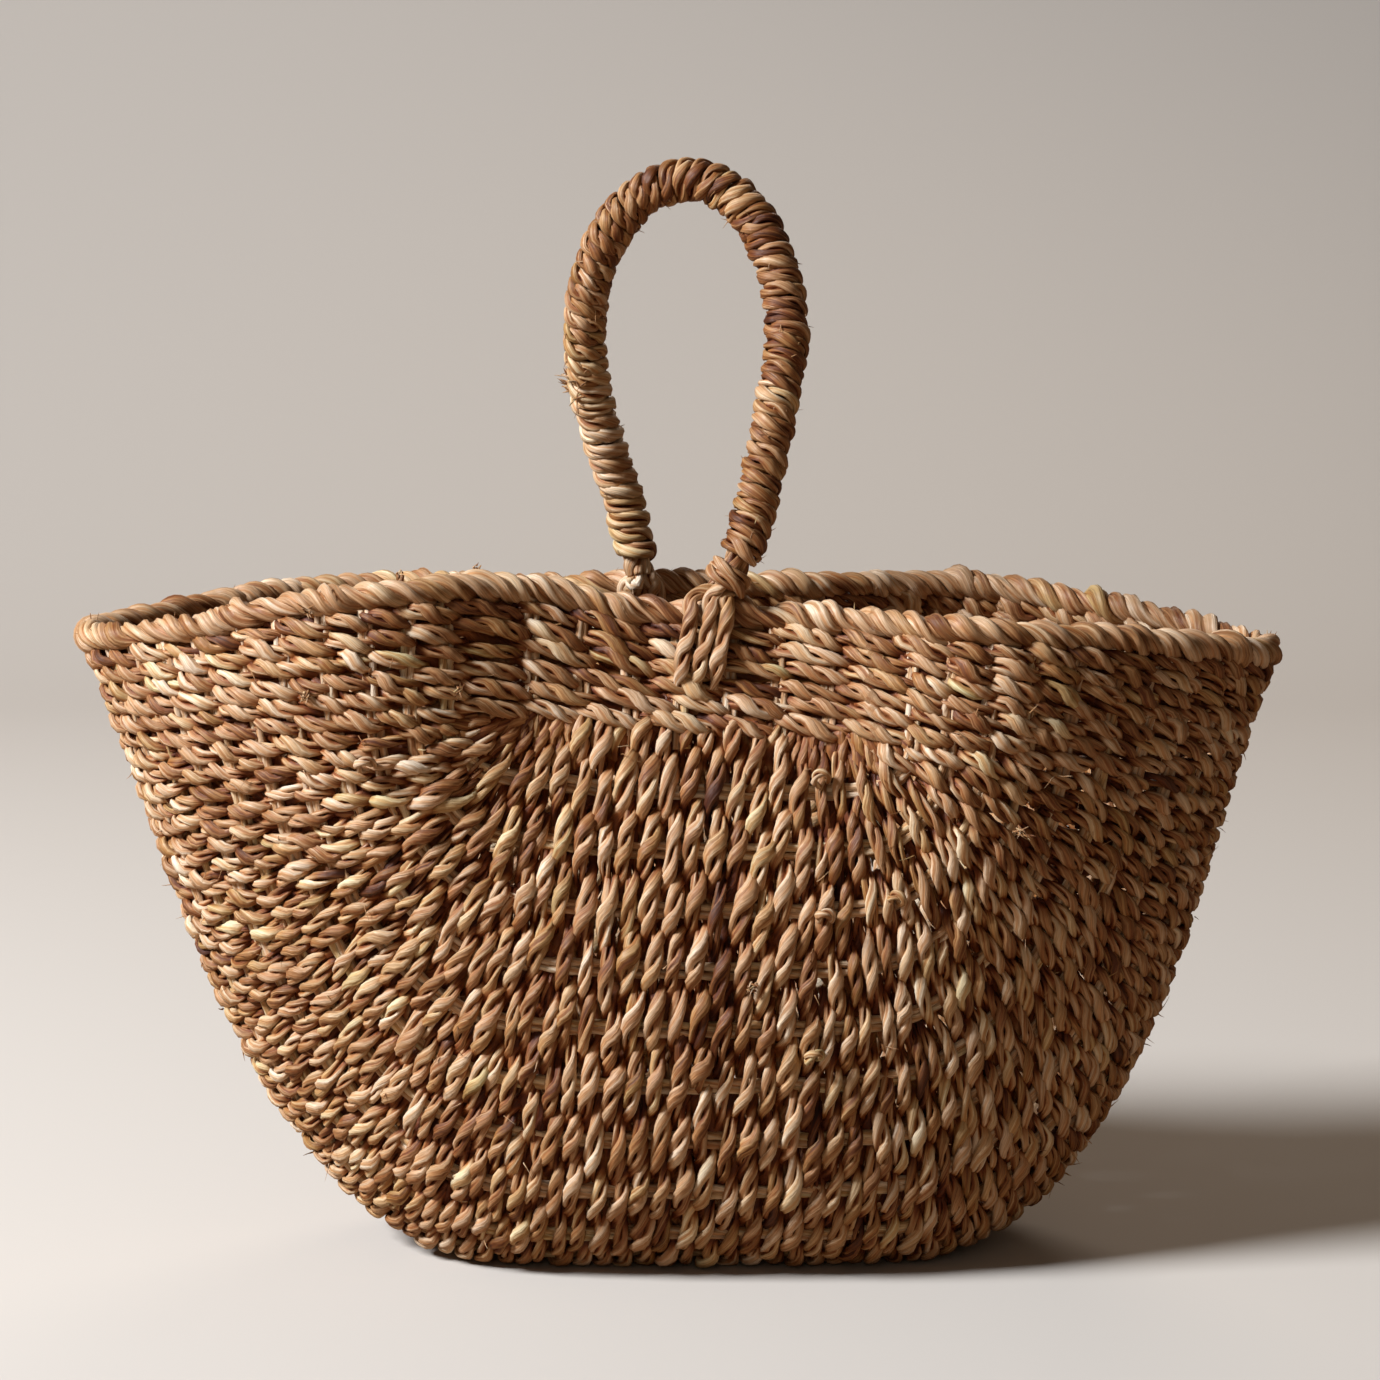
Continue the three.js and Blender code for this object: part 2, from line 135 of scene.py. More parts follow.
# %% [markdown]
# ## Light
# The key lamp is large and nearly white. It stands to the left, in front and above, where the
# photograph's light comes from. A weak, warm fill in front keeps the right end readable, and a
# weak lamp behind draws the back of the rim. All three are discs, so their shadows are soft.

# %% Lamps and world
def lamp(name, place, aim, size, watts, colour):
    """A round lamp that looks at a point."""
    data = bpy.data.lights.new(name, "AREA")
    data.shape = "DISK"
    data.size = size
    data.energy = watts
    data.color = colour
    light = bpy.data.objects.new(name, data)
    light.location = place
    way = np.array(aim, float) - np.array(place, float)
    light.rotation_euler = (
        math.acos(-way[2] / np.linalg.norm(way)), 0, math.atan2(way[1], way[0]) - math.pi / 2)
    bpy.context.scene.collection.objects.link(light)


lamp("key", place=(-2.47, -1.12, 2.2), aim=(0, 0, 0.2), size=1.0, watts=218,
     colour=(0.98, 1.0, 1.03))
lamp("fill", place=(-0.2, -2.7, 1.1), aim=(0, 0, 0.2), size=1.6, watts=2.8,
     colour=(1.0, 0.82, 0.65))
lamp("back", place=(0.4, 1.8, 1.8), aim=(0, 0, 0.25), size=1.2, watts=10,
     colour=(1.0, 0.86, 0.72))
world = bpy.data.worlds.new("studio")
world.use_nodes = True
world.node_tree.nodes["Background"].inputs["Color"].default_value = (1.0, 0.79, 0.60, 1)
world.node_tree.nodes["Background"].inputs["Strength"].default_value = 0.075
bpy.context.scene.world = world
bpy.context.scene.view_settings.view_transform = "Standard"

# %% [markdown]
# ## The wall as a formula
# Every strand lies on the wall of the basket, so the wall comes first, as the same formula
# that made the CAD model. Two profiles are drawn with Bezier curves: the keel, from the
# middle of the base to the tips, and the side, from the base to the rim. A point of a flat
# oval, p along the length and q across, is carried onto the wall between them.

# %% Profiles of the keel and the side, in millimetres
RIM_HEIGHT, TIP_HEIGHT, BASE_HEIGHT, TIP_REACH = 264.0, 245.5, 5.0, 239.5
PANEL_HALF = 77.0  # half the length of the CAD model's middle panel
KEEL_FLAT = 98.5  # from the middle to where the keel begins to rise
KEEL_TURN = (180.0, 80.0)  # where it turns up to the tip
SIDE_FLAT = 42.0  # half the width of the flat base
SIDE_TURN = (89.0, 115.0)  # the widest place of the side
RIM_HALF_WIDTH = 55.0  # before the mouth is drawn in
BAND_DEEP = 47.0  # from the rim down to the foot of the level band


def bend(start, leave, meet, end, steps=400):
    """A Bezier curve that leaves its start and meets its end in the ways given."""
    a, d = np.array(start, float), np.array(end, float)
    b, c = a + leave, d - meet
    t = np.linspace(0, 1, steps)[:, None]
    return a * (1 - t) ** 3 + 3 * b * t * (1 - t) ** 2 + 3 * c * t**2 * (1 - t) + d * t**3


def profile(*parts):
    """Points in a row, the share of the run at each, and the whole run."""
    points = np.concatenate(parts)
    run = np.concatenate([[0], np.cumsum(np.linalg.norm(np.diff(points, axis=0), axis=1))])
    return points, run / run[-1], run[-1]


keel_start = (KEEL_FLAT, BASE_HEIGHT)
reach, rise = KEEL_TURN[0] - KEEL_FLAT, TIP_HEIGHT - KEEL_TURN[1]
keel, keel_share, _ = profile(
    np.linspace((PANEL_HALF, BASE_HEIGHT), keel_start, 50),
    bend(keel_start, (reach * 0.46, 0), (reach * 0.21, reach * 0.41), KEEL_TURN),
    bend(KEEL_TURN, (rise * 0.155, rise * 0.305), (rise * 0.11, rise * 0.25),
         (TIP_REACH, TIP_HEIGHT)))
side_start = (SIDE_FLAT, BASE_HEIGHT)
wider, lower = SIDE_TURN[0] - SIDE_FLAT, SIDE_TURN[1] - BASE_HEIGHT
upper = RIM_HEIGHT - SIDE_TURN[1]
side, side_share, SIDE_LENGTH = profile(
    np.linspace((0, BASE_HEIGHT), side_start, 50),
    bend(side_start, (wider * 0.55, 0), (0, lower * 0.56), SIDE_TURN),
    bend(SIDE_TURN, (0, upper * 0.37), (-upper * 0.05, upper * 0.26),
         (RIM_HALF_WIDTH, RIM_HEIGHT)))
BAND_FOOT = 1 - BAND_DEEP / SIDE_LENGTH  # share of the way up where the level band begins
PANEL_SHARE = PANEL_HALF / SIDE_LENGTH
print("the side is", round(SIDE_LENGTH, 1), "mm from keel to rim")

# %% [markdown]
# ## From a flat oval to the wall
# The formula has the real basket's irregular parts too: its mouth is drawn in at the middle,
# its rim stands highest left of the middle and lies lower at the right tip, and its base
# stands a little to the right under the mouth. All of these are sizes that can be changed.

# %% The wall, and the way out of it
WAIST, WAIST_FROM, WAIST_REACH = 0.45, 0.47, 95  # how far in, from what share up, how far along
FLAT_UP_TO = 0.5  # the share of the way up that the panel's flat middle fades over
HUMP_AT, HUMP_REACH = -112, 78  # where the rim stands highest, and how far along
HUMP_FRONT, HUMP_BACK = 13, -4
POINTED = 0.35  # how much the ends narrow towards their tips, fully so at the rim
RIGHT_LOWER = 3.5  # by which the right tip lies lower, and the left one higher
BASE_ASIDE, ASIDE_BELOW = 8, 242  # how far the base stands aside, and from what height down


def smooth(v):
    v = np.clip(v, 0, 1)
    return v * v * (3 - 2 * v)


def wall(p, q):
    """Points of the wall, in millimetres, for places of the flat oval."""
    p, q = np.asarray(p, float), np.asarray(q, float)
    beyond = np.maximum(np.abs(p) - PANEL_SHARE, 0)
    up = np.hypot(beyond, q)
    share = np.minimum(up, 1)
    keel_x, keel_z = (np.interp(share, keel_share, keel[:, i]) for i in (0, 1))
    side_y, side_z = (np.interp(share, side_share, side[:, i]) for i in (0, 1))
    outwards = beyond / np.maximum(up, 1e-9)
    reach = np.where(np.abs(p) > PANEL_SHARE, PANEL_HALF + (keel_x - PANEL_HALF) * outwards,
                     np.abs(p) / PANEL_SHARE * PANEL_HALF)
    x = np.sign(p) * reach
    # xi runs from 0 in the flat middle to 1 at the basket's end, at this height.
    flat = PANEL_HALF * (1 - smooth(share / FLAT_UP_TO))
    xi = np.clip((reach - flat) / np.maximum(keel_x - flat, 1e-6), 0, 1)
    waist = WAIST * smooth((share - WAIST_FROM) / (1 - WAIST_FROM))
    bow = np.sqrt(np.maximum(1 - xi**2, 0)) * (1 - POINTED * share * xi**4)
    drawn_in = 1 - waist * np.exp(-((x / WAIST_REACH) ** 4))
    y = np.sign(q) * side_y / (1 - waist) * bow * drawn_in
    z = keel_z + (side_z - keel_z) * (1 - xi**3)
    height = np.clip((z - BASE_HEIGHT) / (RIM_HEIGHT - BASE_HEIGHT), 0, 1)
    hump = np.exp(-(((x - HUMP_AT) / HUMP_REACH) ** 4))
    z = z + height**3 * hump * np.where(q < 0, HUMP_FRONT, HUMP_BACK) * bow
    z = z - height**2 * RIGHT_LOWER * x / TIP_REACH
    x = x + BASE_ASIDE * np.maximum(0, 1 - z / ASIDE_BELOW)
    return np.stack([x, y, z], -1)


def unit(v):
    return v / np.maximum(np.linalg.norm(v, axis=-1, keepdims=True), 1e-9)


def way_out(p, q, h=0.004):
    """The direction out of the wall, from points a little to either side."""
    up = np.hypot(np.maximum(np.abs(p) - PANEL_SHARE, 0), q)
    s = np.where(up > 1 - h, (1 - 1.5 * h) / np.maximum(up, 1e-9), 1)
    beyond = np.sign(p) * (PANEL_SHARE + (np.abs(p) - PANEL_SHARE) * s)
    p = np.where(np.abs(p) > PANEL_SHARE, beyond, p)
    q = q * s
    along = wall(p + h, q) - wall(p - h, q)
    across = wall(p, q + h) - wall(p, q - h)
    return unit(np.cross(across, along))


print("tip of the wall:", wall(1 + PANEL_SHARE, 0).round(1))

# %% [markdown]
# ## One strand
# A strand of seagrass is three flat blades twisted together. It isn't round: the blades meet
# in creases, which turn slowly along it, and where it comes to the outside it spreads. So a
# strand here is a tube whose section is an oval, with its own half height and half width at
# every step. Its corners turn with the blades, so that a crease always runs through the same
# corners. Curves with a bevel can't do that, so this is mesh code. Each corner also carries
# what the material reads: `fibre`, a place within the strand for the streaks; `shade`, the
# painted shade for how deep it lies and for its creases; and `tint` and `hue`, its colour.

# %% Runs, headings and smooth chance
rng = np.random.default_rng(38)
JOINT = 20.0  # the run over which a closed strand settles towards its joint


def run_of(points):
    """The run along a line up to each of its points."""
    return np.concatenate([[0], np.cumsum(np.linalg.norm(np.diff(points, axis=0), axis=1))])


def heading(points, closed=False):
    """The direction ahead at each point of a line."""
    if closed:
        return unit(np.roll(points, -1, 0) - np.roll(points, 1, 0))
    return unit(np.gradient(points, axis=0))


def wander(at):
    """A smooth random value, about -2 to 2, that changes by each whole step of at."""
    at = np.asarray(at, float) - np.min(at)
    knots = rng.standard_normal(int(at.max()) + 3)
    i = np.floor(at).astype(int)
    f = smooth(at - i)
    return knots[i] * (1 - f) + knots[i + 1] * f


def joint_fade(run, closed):
    """1, but for a closed strand it fades to 0 at the joint, so that chance meets itself."""
    return smooth(np.minimum(run, run[-1] - run) / JOINT) if closed else 1.0


print("a run of two steps:", run_of(np.array([[0, 0, 0], [3, 4, 0], [3, 4, 5]])))

# %% A strand as rings of points
BLADES = 3  # flat blades in a strand, with a crease between each two
# Painted shade: the corners in a crease between two blades are darkened to this.
CREASE_SHADE = 0.55  # 1 is in full light
ALONG_FIBRE = 0.02  # how far the streaks' noise moves on in a millimetre along the strand
USUAL_HUE = 0.525  # a place on the ramp that leans the colour


def strand(points, out, high, wide, turn=80.0, closed=False, tint=0.0, sides=11, crease=0.2):
    """One strand: the points along its middle, the way out of the weave, its half height
    and half width in millimetres, and the run in which its own blades turn once."""
    n = len(points)
    ahead = heading(points, closed)
    up = unit(out - (out * ahead).sum(1, keepdims=True) * ahead)
    across = np.cross(ahead, up)
    run = run_of(points)
    turns = run[-1] / turn
    if closed:
        turns = max(round(turns), 1)
    roll = 2 * np.pi * turns * run / run[-1] + rng.uniform(0, 6.3)
    corner = 2 * np.pi * np.arange(sides) / sides
    a = corner[None, :] + roll[:, None]
    # The creases between the blades sink, and the other corners stay, a little uneven.
    swell = np.ones(sides)
    first = rng.integers(0, sides)
    for k in range(BLADES):
        at = int(round(first + k * (sides / BLADES) + rng.uniform(-0.6, 0.6))) % sides
        swell[at] = 1 - crease * rng.uniform(0.6, 1.5)
    swell = swell * (1 + 0.5 * crease * rng.uniform(-0.5, 0.5, sides))
    high = np.broadcast_to(high, n)[:, None]
    wide = np.broadcast_to(wide, n)[:, None]
    ring = points[:, None] + (swell * high * np.cos(a))[..., None] * up[:, None]
    ring = ring + (swell * wide * np.sin(a))[..., None] * across[:, None]
    place = np.broadcast_to(corner[None, :], (n, sides))
    far_along = np.broadcast_to(run[:, None], (n, sides)) * ALONG_FIBRE + rng.uniform(0, 90)
    fibre = np.stack([np.cos(place), np.sin(place), far_along], -1)
    # The corners in a crease get painted shade.
    shades = np.broadcast_to(np.where(swell < 1 - 0.5 * crease, CREASE_SHADE, 1.0), (n, sides))
    tints = np.broadcast_to(np.broadcast_to(tint, n)[:, None], (n, sides))
    hue = USUAL_HUE + rng.normal(0, 0.07) + 0.16 * wander(run / 45) * joint_fade(run, closed)
    hues = np.broadcast_to(np.broadcast_to(hue, n)[:, None], (n, sides))
    return {"ring": ring, "fibre": fibre, "shade": shades, "tint": tints, "hue": hues,
            "closed": closed}


print("blades in a strand:", BLADES)

# %% [markdown]
# ## From strands to faces
# All strands of one piece become one mesh. The rings are joined by quads and the free ends
# get a cap. The map named OFBake lays every strand out in strips, one under the other, so
# that a texture baked from the material keeps the streaks along each strand. The map is cut
# into cells, and each span between two rings has one, as has each cap.

# %% Faces of a strand, and their place in the map
EMPTY, FILLED = 0.03, 0.94  # shares of a cell's height: left free below a span, and used by it


def strand_faces(n, sides, closed, cell, columns, rows):
    """Corners, corner counts and map places of each lot of faces of one strand."""
    spans = n if closed else n - 1
    i, j = np.meshgrid(np.arange(spans), np.arange(sides), indexing="ij")
    k, m = (i + 1) % n, (j + 1) % sides
    quads = np.stack([i * sides + j, i * sides + m, k * sides + m, k * sides + j], -1)
    u, v = ((cell + i) % columns) / columns, (cell + i) // columns
    low, high = ((v + EMPTY + FILLED * corner / sides) / rows for corner in (j, j + 1))
    quad_uv = [[u, low], [u, high], [u + 1 / columns, high], [u + 1 / columns, low]]
    quad_uv = np.moveaxis(np.array(quad_uv), (0, 1), (2, 3)).reshape(-1, 2)
    lots = [(quads.reshape(-1), np.full(spans * sides, 4), quad_uv)]
    if not closed:
        angle = 2 * np.pi * np.arange(sides) / sides
        disc = np.stack([np.cos(angle) * 0.4 / columns, np.sin(angle) * 0.4 / rows], 1)
        for end in (np.arange(sides)[::-1], (n - 1) * sides + np.arange(sides)):
            at = cell + spans + len(lots) - 1
            middle = np.array([(at % columns + 0.5) / columns, (at // columns + 0.5) / rows])
            lots.append((end, np.array([sides]), middle + disc))
    return lots


print("faces of a short strand:", sum(len(lot[1]) for lot in strand_faces(3, 8, False, 0, 9, 9)))

# %% [markdown]
# ## From faces to a piece
# Python writes the mesh in one go, which is fast also for a piece of 100,000 faces. No point
# goes below the floor: what would lie under it is pressed up to just above it, as the basket's
# own weight does with the lowest stitches.

# %% Make a mesh piece from strands
MM = 0.001
PRESSED = 1.4  # square millimetres: the larger, the higher the pressing starts
CELL_HIGH = 8  # how many times higher than wide a cell of the map is, as a span is


def no_lower_than_floor(z):
    """Heights that bend over to 0 instead of passing it."""
    return 0.5 * (z + np.sqrt(z * z + PRESSED))


def piece(name, strands, material, body=None):
    """One object from strands, with its map and what its material reads."""
    rings = [s["ring"] for s in strands]
    points = np.concatenate([r.reshape(-1, 3) for r in rings])
    points[:, 2] = no_lower_than_floor(points[:, 2])
    cells = sum(len(r) + 2 for r in rings)
    columns = int(math.sqrt(cells * CELL_HIGH)) + 1
    rows = cells // columns + 1
    corners, sizes, uvs = [], [], []
    base = cell = 0
    for s in strands:
        n, sides = s["ring"].shape[:2]
        lots = strand_faces(n, sides, s["closed"], cell, columns, rows)
        for lot_corners, lot_sizes, lot_uvs in lots:
            corners.append(base + lot_corners)
            sizes.append(lot_sizes)
            uvs.append(lot_uvs)
        cell += n if s["closed"] else n + 1
        base += n * sides
    corners, sizes, uvs = (np.concatenate(v) for v in (corners, sizes, uvs))
    mesh = bpy.data.meshes.new(name)
    mesh.vertices.add(len(points))
    mesh.vertices.foreach_set("co", (points * MM).astype(np.float32).ravel())
    mesh.loops.add(len(corners))
    mesh.loops.foreach_set("vertex_index", corners.astype(np.int32))
    mesh.polygons.add(len(sizes))
    starts = np.concatenate([[0], np.cumsum(sizes)[:-1]])
    mesh.polygons.foreach_set("loop_start", starts.astype(np.int32))
    mesh.polygons.foreach_set("use_smooth", np.ones(len(sizes), bool))
    layer = mesh.uv_layers.new(name="OFBake")
    layer.data.foreach_set("uv", uvs.astype(np.float32).ravel())
    fibre = mesh.attributes.new("fibre", "FLOAT_VECTOR", "POINT")
    stack = np.concatenate([s["fibre"].reshape(-1, 3) for s in strands])
    fibre.data.foreach_set("vector", stack.astype(np.float32).ravel())
    for key in ("shade", "tint", "hue"):
        values = np.concatenate([s[key].reshape(-1) for s in strands])
        attribute = mesh.attributes.new(key, "FLOAT", "POINT")
        attribute.data.foreach_set("value", values.astype(np.float32))
    mesh.update(calc_edges=True)
    mesh.validate()
    mesh.materials.append(material)
    made = bpy.data.objects.new(name, mesh)
    bpy.context.scene.collection.objects.link(made)
    if body:
        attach(made, body)
    triangles = int((sizes - 2).sum())
    length = sum(run_of(r.mean(1))[-1] for r in rings) / 1000
    print(f"{name}: {len(strands)} strands, {length:.1f} m, {triangles} triangles")
    return made


# %% [markdown]
# ## The finish of dry seagrass
# Seagrass dries to straw and tan, with olive, pinkish and brown lengths in between. Its
# surface is a satin skin with fine streaks along the blades. The streaks come from noise that
# reads the `fibre` attribute, which is stretched along the strand, so they follow every twist
# and never slide. `tint` picks how pale a stitch is and `hue` which way its colour leans.
# `shade` paints shade into the colour: it takes the creases and the depths to a dark red brown.

# %% Colours of seagrass
STRAW = [(0.0, (0.070, 0.018, 0.004)), (0.2, (0.165, 0.056, 0.015)), (0.4, (0.338, 0.169, 0.070)),
         (0.6, (0.527, 0.343, 0.203)), (0.8, (0.68, 0.530, 0.385)), (1.0, (0.80, 0.70, 0.575))]
LEANING = [(0.0, (1.0, 0.91, 0.85)), (0.3, (1.02, 0.965, 0.92)), (0.5, (1.03, 1.0, 0.95)),
           (0.72, (1.03, 1.0, 0.80)), (1.0, (0.90, 0.97, 0.70))]
# Painted shade: how the colour darkens to red brown in the creases and depths, read from `shade`.
PAINTED_SHADE = [(0.0, (0.14, 0.022, 0.001)), (0.3, (0.45, 0.19, 0.060)), (0.6, (0.87, 0.69, 0.52)),
          (0.9, (1.0, 1.0, 1.0))]
print("stops of each ramp:", len(STRAW), len(LEANING), len(PAINTED_SHADE))

# %% Helpers for material nodes
def node(tree, kind, place, **values):
    """A new node. Its values are inputs where it has them by that name, and settings if not."""
    made = tree.nodes.new(kind)
    made.location = place
    for key, value in values.items():
        if key in made.inputs:
            made.inputs[key].default_value = value
        else:
            setattr(made, key, value)
    return made


def colour_ramp(tree, place, colours):
    """A ramp with a colour at each of its places."""
    ramp = node(tree, "ShaderNodeValToRGB", place)
    stops = ramp.color_ramp.elements
    while len(stops) < len(colours):
        stops.new(0.5)
    for i, (at, colour) in enumerate(colours):
        stops[i].position = at
        stops[i].color = (*colour, 1)
    return ramp


def spread(tree, noise, place, low, high):
    """The noise, which stays mostly between 0.3 and 0.7, spread over low to high."""
    made = node(tree, "ShaderNodeMapRange", place)
    for key, value in (("From Min", 0.3), ("From Max", 0.7), ("To Min", low), ("To Max", high)):
        made.inputs[key].default_value = value
    tree.links.new(noise, made.inputs["Value"])
    return made.outputs["Result"]


print("helpers:", ", ".join(helper.__name__ for helper in (node, colour_ramp, spread)))

# %% [markdown]
# ## One material, five finishes
# The rib cords are rougher and the rim rope paler, so the same nodes are built with other
# numbers. The streaks also raise the surface a little, and where they are pale it is glossier.
# The colour is three ramps multiplied: how pale, which way it leans, and painted shade where it lies
# deep.

# %% Seagrass material
STREAKED = 0.26  # how far the streaks shift the colour along the straw ramp
GLOSSIER = 0.13  # how far they change the roughness


def seagrass(name, rough=0.49, paler=0.0):
    """The material of dry seagrass, so rough, and so much paler than the tint says."""
    material = bpy.data.materials.new(name)
    material.use_nodes = True
    tree = material.node_tree
    link = tree.links.new
    shader = tree.nodes["Principled BSDF"]
    fibre, tint, hue, shade = (
        node(tree, "ShaderNodeAttribute", (-1500, 300 - 200 * i), attribute_name=key)
        for i, key in enumerate(("fibre", "tint", "hue", "shade")))
    streaks = node(tree, "ShaderNodeTexNoise", (-1250, 300), Scale=1.9, Detail=4.0, Roughness=0.65)
    fine = node(tree, "ShaderNodeTexNoise", (-1250, 50), Scale=8.0, Detail=2.0, Roughness=0.5)
    link(fibre.outputs["Vector"], streaks.inputs["Vector"])
    link(fibre.outputs["Vector"], fine.inputs["Vector"])
    shift = spread(tree, streaks.outputs["Fac"], (-1000, 300), paler - STREAKED, paler + STREAKED)
    pale = node(tree, "ShaderNodeMath", (-800, 300), operation="ADD")
    link(shift, pale.inputs[0])
    link(tint.outputs["Fac"], pale.inputs[1])
    straw = colour_ramp(tree, (-600, 350), STRAW)
    link(pale.outputs[0], straw.inputs["Fac"])
    lean = colour_ramp(tree, (-600, 100), LEANING)
    link(hue.outputs["Fac"], lean.inputs["Fac"])
    # Painted shade from the `shade` attribute.
    deep = colour_ramp(tree, (-600, -150), PAINTED_SHADE)
    link(shade.outputs["Fac"], deep.inputs["Fac"])
    colour = straw.outputs["Color"]
    for i, other in enumerate((lean, deep)):
        times = node(tree, "ShaderNodeVectorMath", (-300 + 150 * i, 200), operation="MULTIPLY")
        link(colour, times.inputs[0])
        link(other.outputs["Color"], times.inputs[1])
        colour = times.outputs[0]
    lines = spread(tree, fine.outputs["Fac"], (-1000, -50), 0.72, 1.18)
    lined = node(tree, "ShaderNodeVectorMath", (20, 200), operation="SCALE")
    link(colour, lined.inputs[0])
    link(lines, lined.inputs["Scale"])
    link(lined.outputs[0], shader.inputs["Base Color"])
    gloss = spread(tree, streaks.outputs["Fac"], (-300, -120), rough + GLOSSIER, rough - GLOSSIER)
    link(gloss, shader.inputs["Roughness"])
    relief = node(tree, "ShaderNodeMath", (-780, -400), operation="MULTIPLY_ADD")
    relief.inputs[1].default_value = 0.6
    link(fine.outputs["Fac"], relief.inputs[0])
    link(streaks.outputs["Fac"], relief.inputs[2])
    raised = node(tree, "ShaderNodeBump", (-500, -350), Strength=0.5, Distance=0.0012)
    link(relief.outputs[0], raised.inputs["Height"])
    link(raised.outputs["Normal"], shader.inputs["Normal"])
    shader.inputs["Specular IOR Level"].default_value = 0.4
    return material


weft_finish = seagrass("seagrass_weft")
rib_finish = seagrass("seagrass_rib", rough=0.6)
rope_finish = seagrass("seagrass_rope", paler=0.07)
wrap_finish = seagrass("seagrass_wrap")
cord_finish = seagrass("seagrass_cord")
finishes = (weft_finish, rib_finish, rope_finish, wrap_finish, cord_finish)
print("finishes:", ", ".join(finish.name for finish in finishes))

# %% [markdown]
# ## Twining
# A row of twining is a pair of cords. At each rib one cord is outside and the other inside,
# and between ribs they change places, always turning the same way. So both cords follow one
# spiral round the middle of the wall: out, across, in and back. Each cord is itself two
# strands twisted together, which is why every stitch shows two or three slanted ridges. The
# cord comes first, because the rim, the handle and the lashings are made of cords too.

# %% A cord of strands laid round each other
# Shares of a cord's thickness and breadth, for two and three strands: how far a strand's
# middle lies from the cord's, and its own half height and half width there.
LAID = {2: (0.21, 0.26, 0.29, 0.24), 3: (0.27, 0.27, 0.24, 0.24)}


def cord(line, out, thick, broad, lay, plies=2, closed=False, tint=0.55, sides=9, rough=0.10,
         crease=0.2):
    """Strands twisted together round a line, thick along `out` and broad across it, once
    round in `lay`. A strand that comes to the outside spreads, as flat blades do."""
    n = len(line)
    ahead = heading(line, closed)
    up = unit(out - (out * ahead).sum(1, keepdims=True) * ahead)
    across = np.cross(ahead, up)
    run = run_of(line)
    lay, thick, broad = (np.broadcast_to(v, n) for v in (lay, thick, broad))
    spin = np.concatenate([[0], np.cumsum(np.diff(run) / lay[1:])])
    if closed:
        whole = spin[-1] + np.linalg.norm(line[0] - line[-1]) / lay[0]
        spin = spin * round(whole) / whole
    fade = joint_fade(run, closed)
    spin = spin + fade * 0.08 * wander(run / 16) + rng.uniform(0, 1)
    lift, aside, half_high, half_wide = LAID[plies]
    made = []
    for k in range(plies):
        c, s = np.cos(2 * np.pi * (spin + k / plies)), np.sin(2 * np.pi * (spin + k / plies))
        loose = 1 + rough * wander(run / 9) * fade
        centre = line + (lift * thick * c * loose)[:, None] * up
        centre = centre + (aside * broad * s * loose)[:, None] * across
        # A strand is flat against the outside and inside of the cord, and narrow between.
        flat = c * c if plies == 2 else 0.3
        radial = (half_high + 0.08 * (1 - flat)) * thick
        sideways = (half_wide + 0.19 * flat) * broad
        # Its colour drifts a little along it, in short steps and in long ones.
        own = tint + rng.normal(0, 0.045) + (0.11 * wander(run / 13) + 0.06 * wander(run / 60)) * fade
        part = strand(centre, up, radial * loose, sideways * loose, turn=48, closed=closed,
                      tint=own, sides=sides, crease=crease)
        # Painted shade: a strand's colour darkens where it lies near the cord's middle, between the
        # strands.
        from_line = np.linalg.norm(part["ring"] - line[:, None], axis=-1)
        outermost = smooth((from_line / (0.5 * thick[:, None]) - 0.12) / 0.8)
        part["shade"] = part["shade"] * (0.25 + 0.75 * outermost)
        made.append(part)
    return made


print("strands can be laid in", " or ".join(str(plies) for plies in LAID))

# %% [markdown]
# ## A row of twining
# The row follows a line of the flat oval. Between two ribs the pair turns by a whole number
# of half turns, so that it crosses between the ribs and lies over them. It turns faster or
# slower where ribs stand closer or wider, and a little by chance, as a hand would do it.

# %% A row of twining along a line of the oval
STEP = 2.1  # millimetres between the rings of a strand
STAND_OUT = 3.7  # how far a cord's middle stands off the wall at a rib
PART = 2.2  # how far the two cords part sideways where they cross
STITCH = 24.0  # the usual run from one crossing to the next
LAY = 25.0  # the run in which the two strands of a cord turn once
THICK, BROAD = 5.7, 7.5  # a cord of weft where it lies over a rib
SMOOTHED = 3  # rings on either side over which the pair's turning is evened out


def flattened(c):
    """A cosine with broad tops, so that a cord lies flat over a rib."""
    return np.tanh(1.3 * c) / math.tanh(1.3)


def turning(run, at_rib, length, closed):
    """How far the pair has turned at each point of run. Ribs cross the row at at_rib."""
    gaps = np.diff(at_rib)
    stitches = np.maximum(np.round(gaps / STITCH), 1)
    if closed:
        last = length - at_rib[-1] + at_rib[0]
        ends = max(round(last / STITCH), 1)
        # A closed row needs an even number of stitches, or its cords wouldn't meet themselves.
        ends += int(ends + stitches.sum()) % 2
        edges = np.concatenate([[0], at_rib, [length]])
        rates = np.concatenate([[ends / last], stitches / gaps, [ends / last]])
    else:
        edges = np.concatenate([[-1], at_rib, [length + 1]])
        rates = np.concatenate([[1 / STITCH], stitches / gaps, [1 / STITCH]])
    rate = rates[np.clip(np.searchsorted(edges, run, side="right") - 1, 0, len(rates) - 1)]
    evenly = np.ones(2 * SMOOTHED + 1) / (2 * SMOOTHED + 1)
    rate = np.convolve(np.pad(rate, SMOOTHED, mode="wrap" if closed else "edge"), evenly,
                       mode="valid")
    turn = np.concatenate([[0], np.cumsum(rate[:-1])]) * np.pi * (run[1] - run[0])
    if closed:
        whole = turn[-1] + rate[-1] * np.pi * (run[1] - run[0])
        return turn * 2 * np.pi * round(whole / (2 * np.pi)) / whole
    if len(at_rib):
        # A stitch stands right over the middle rib, and so over all the others.
        return turn - np.interp(at_rib[len(at_rib) // 2], run, turn)
    return turn


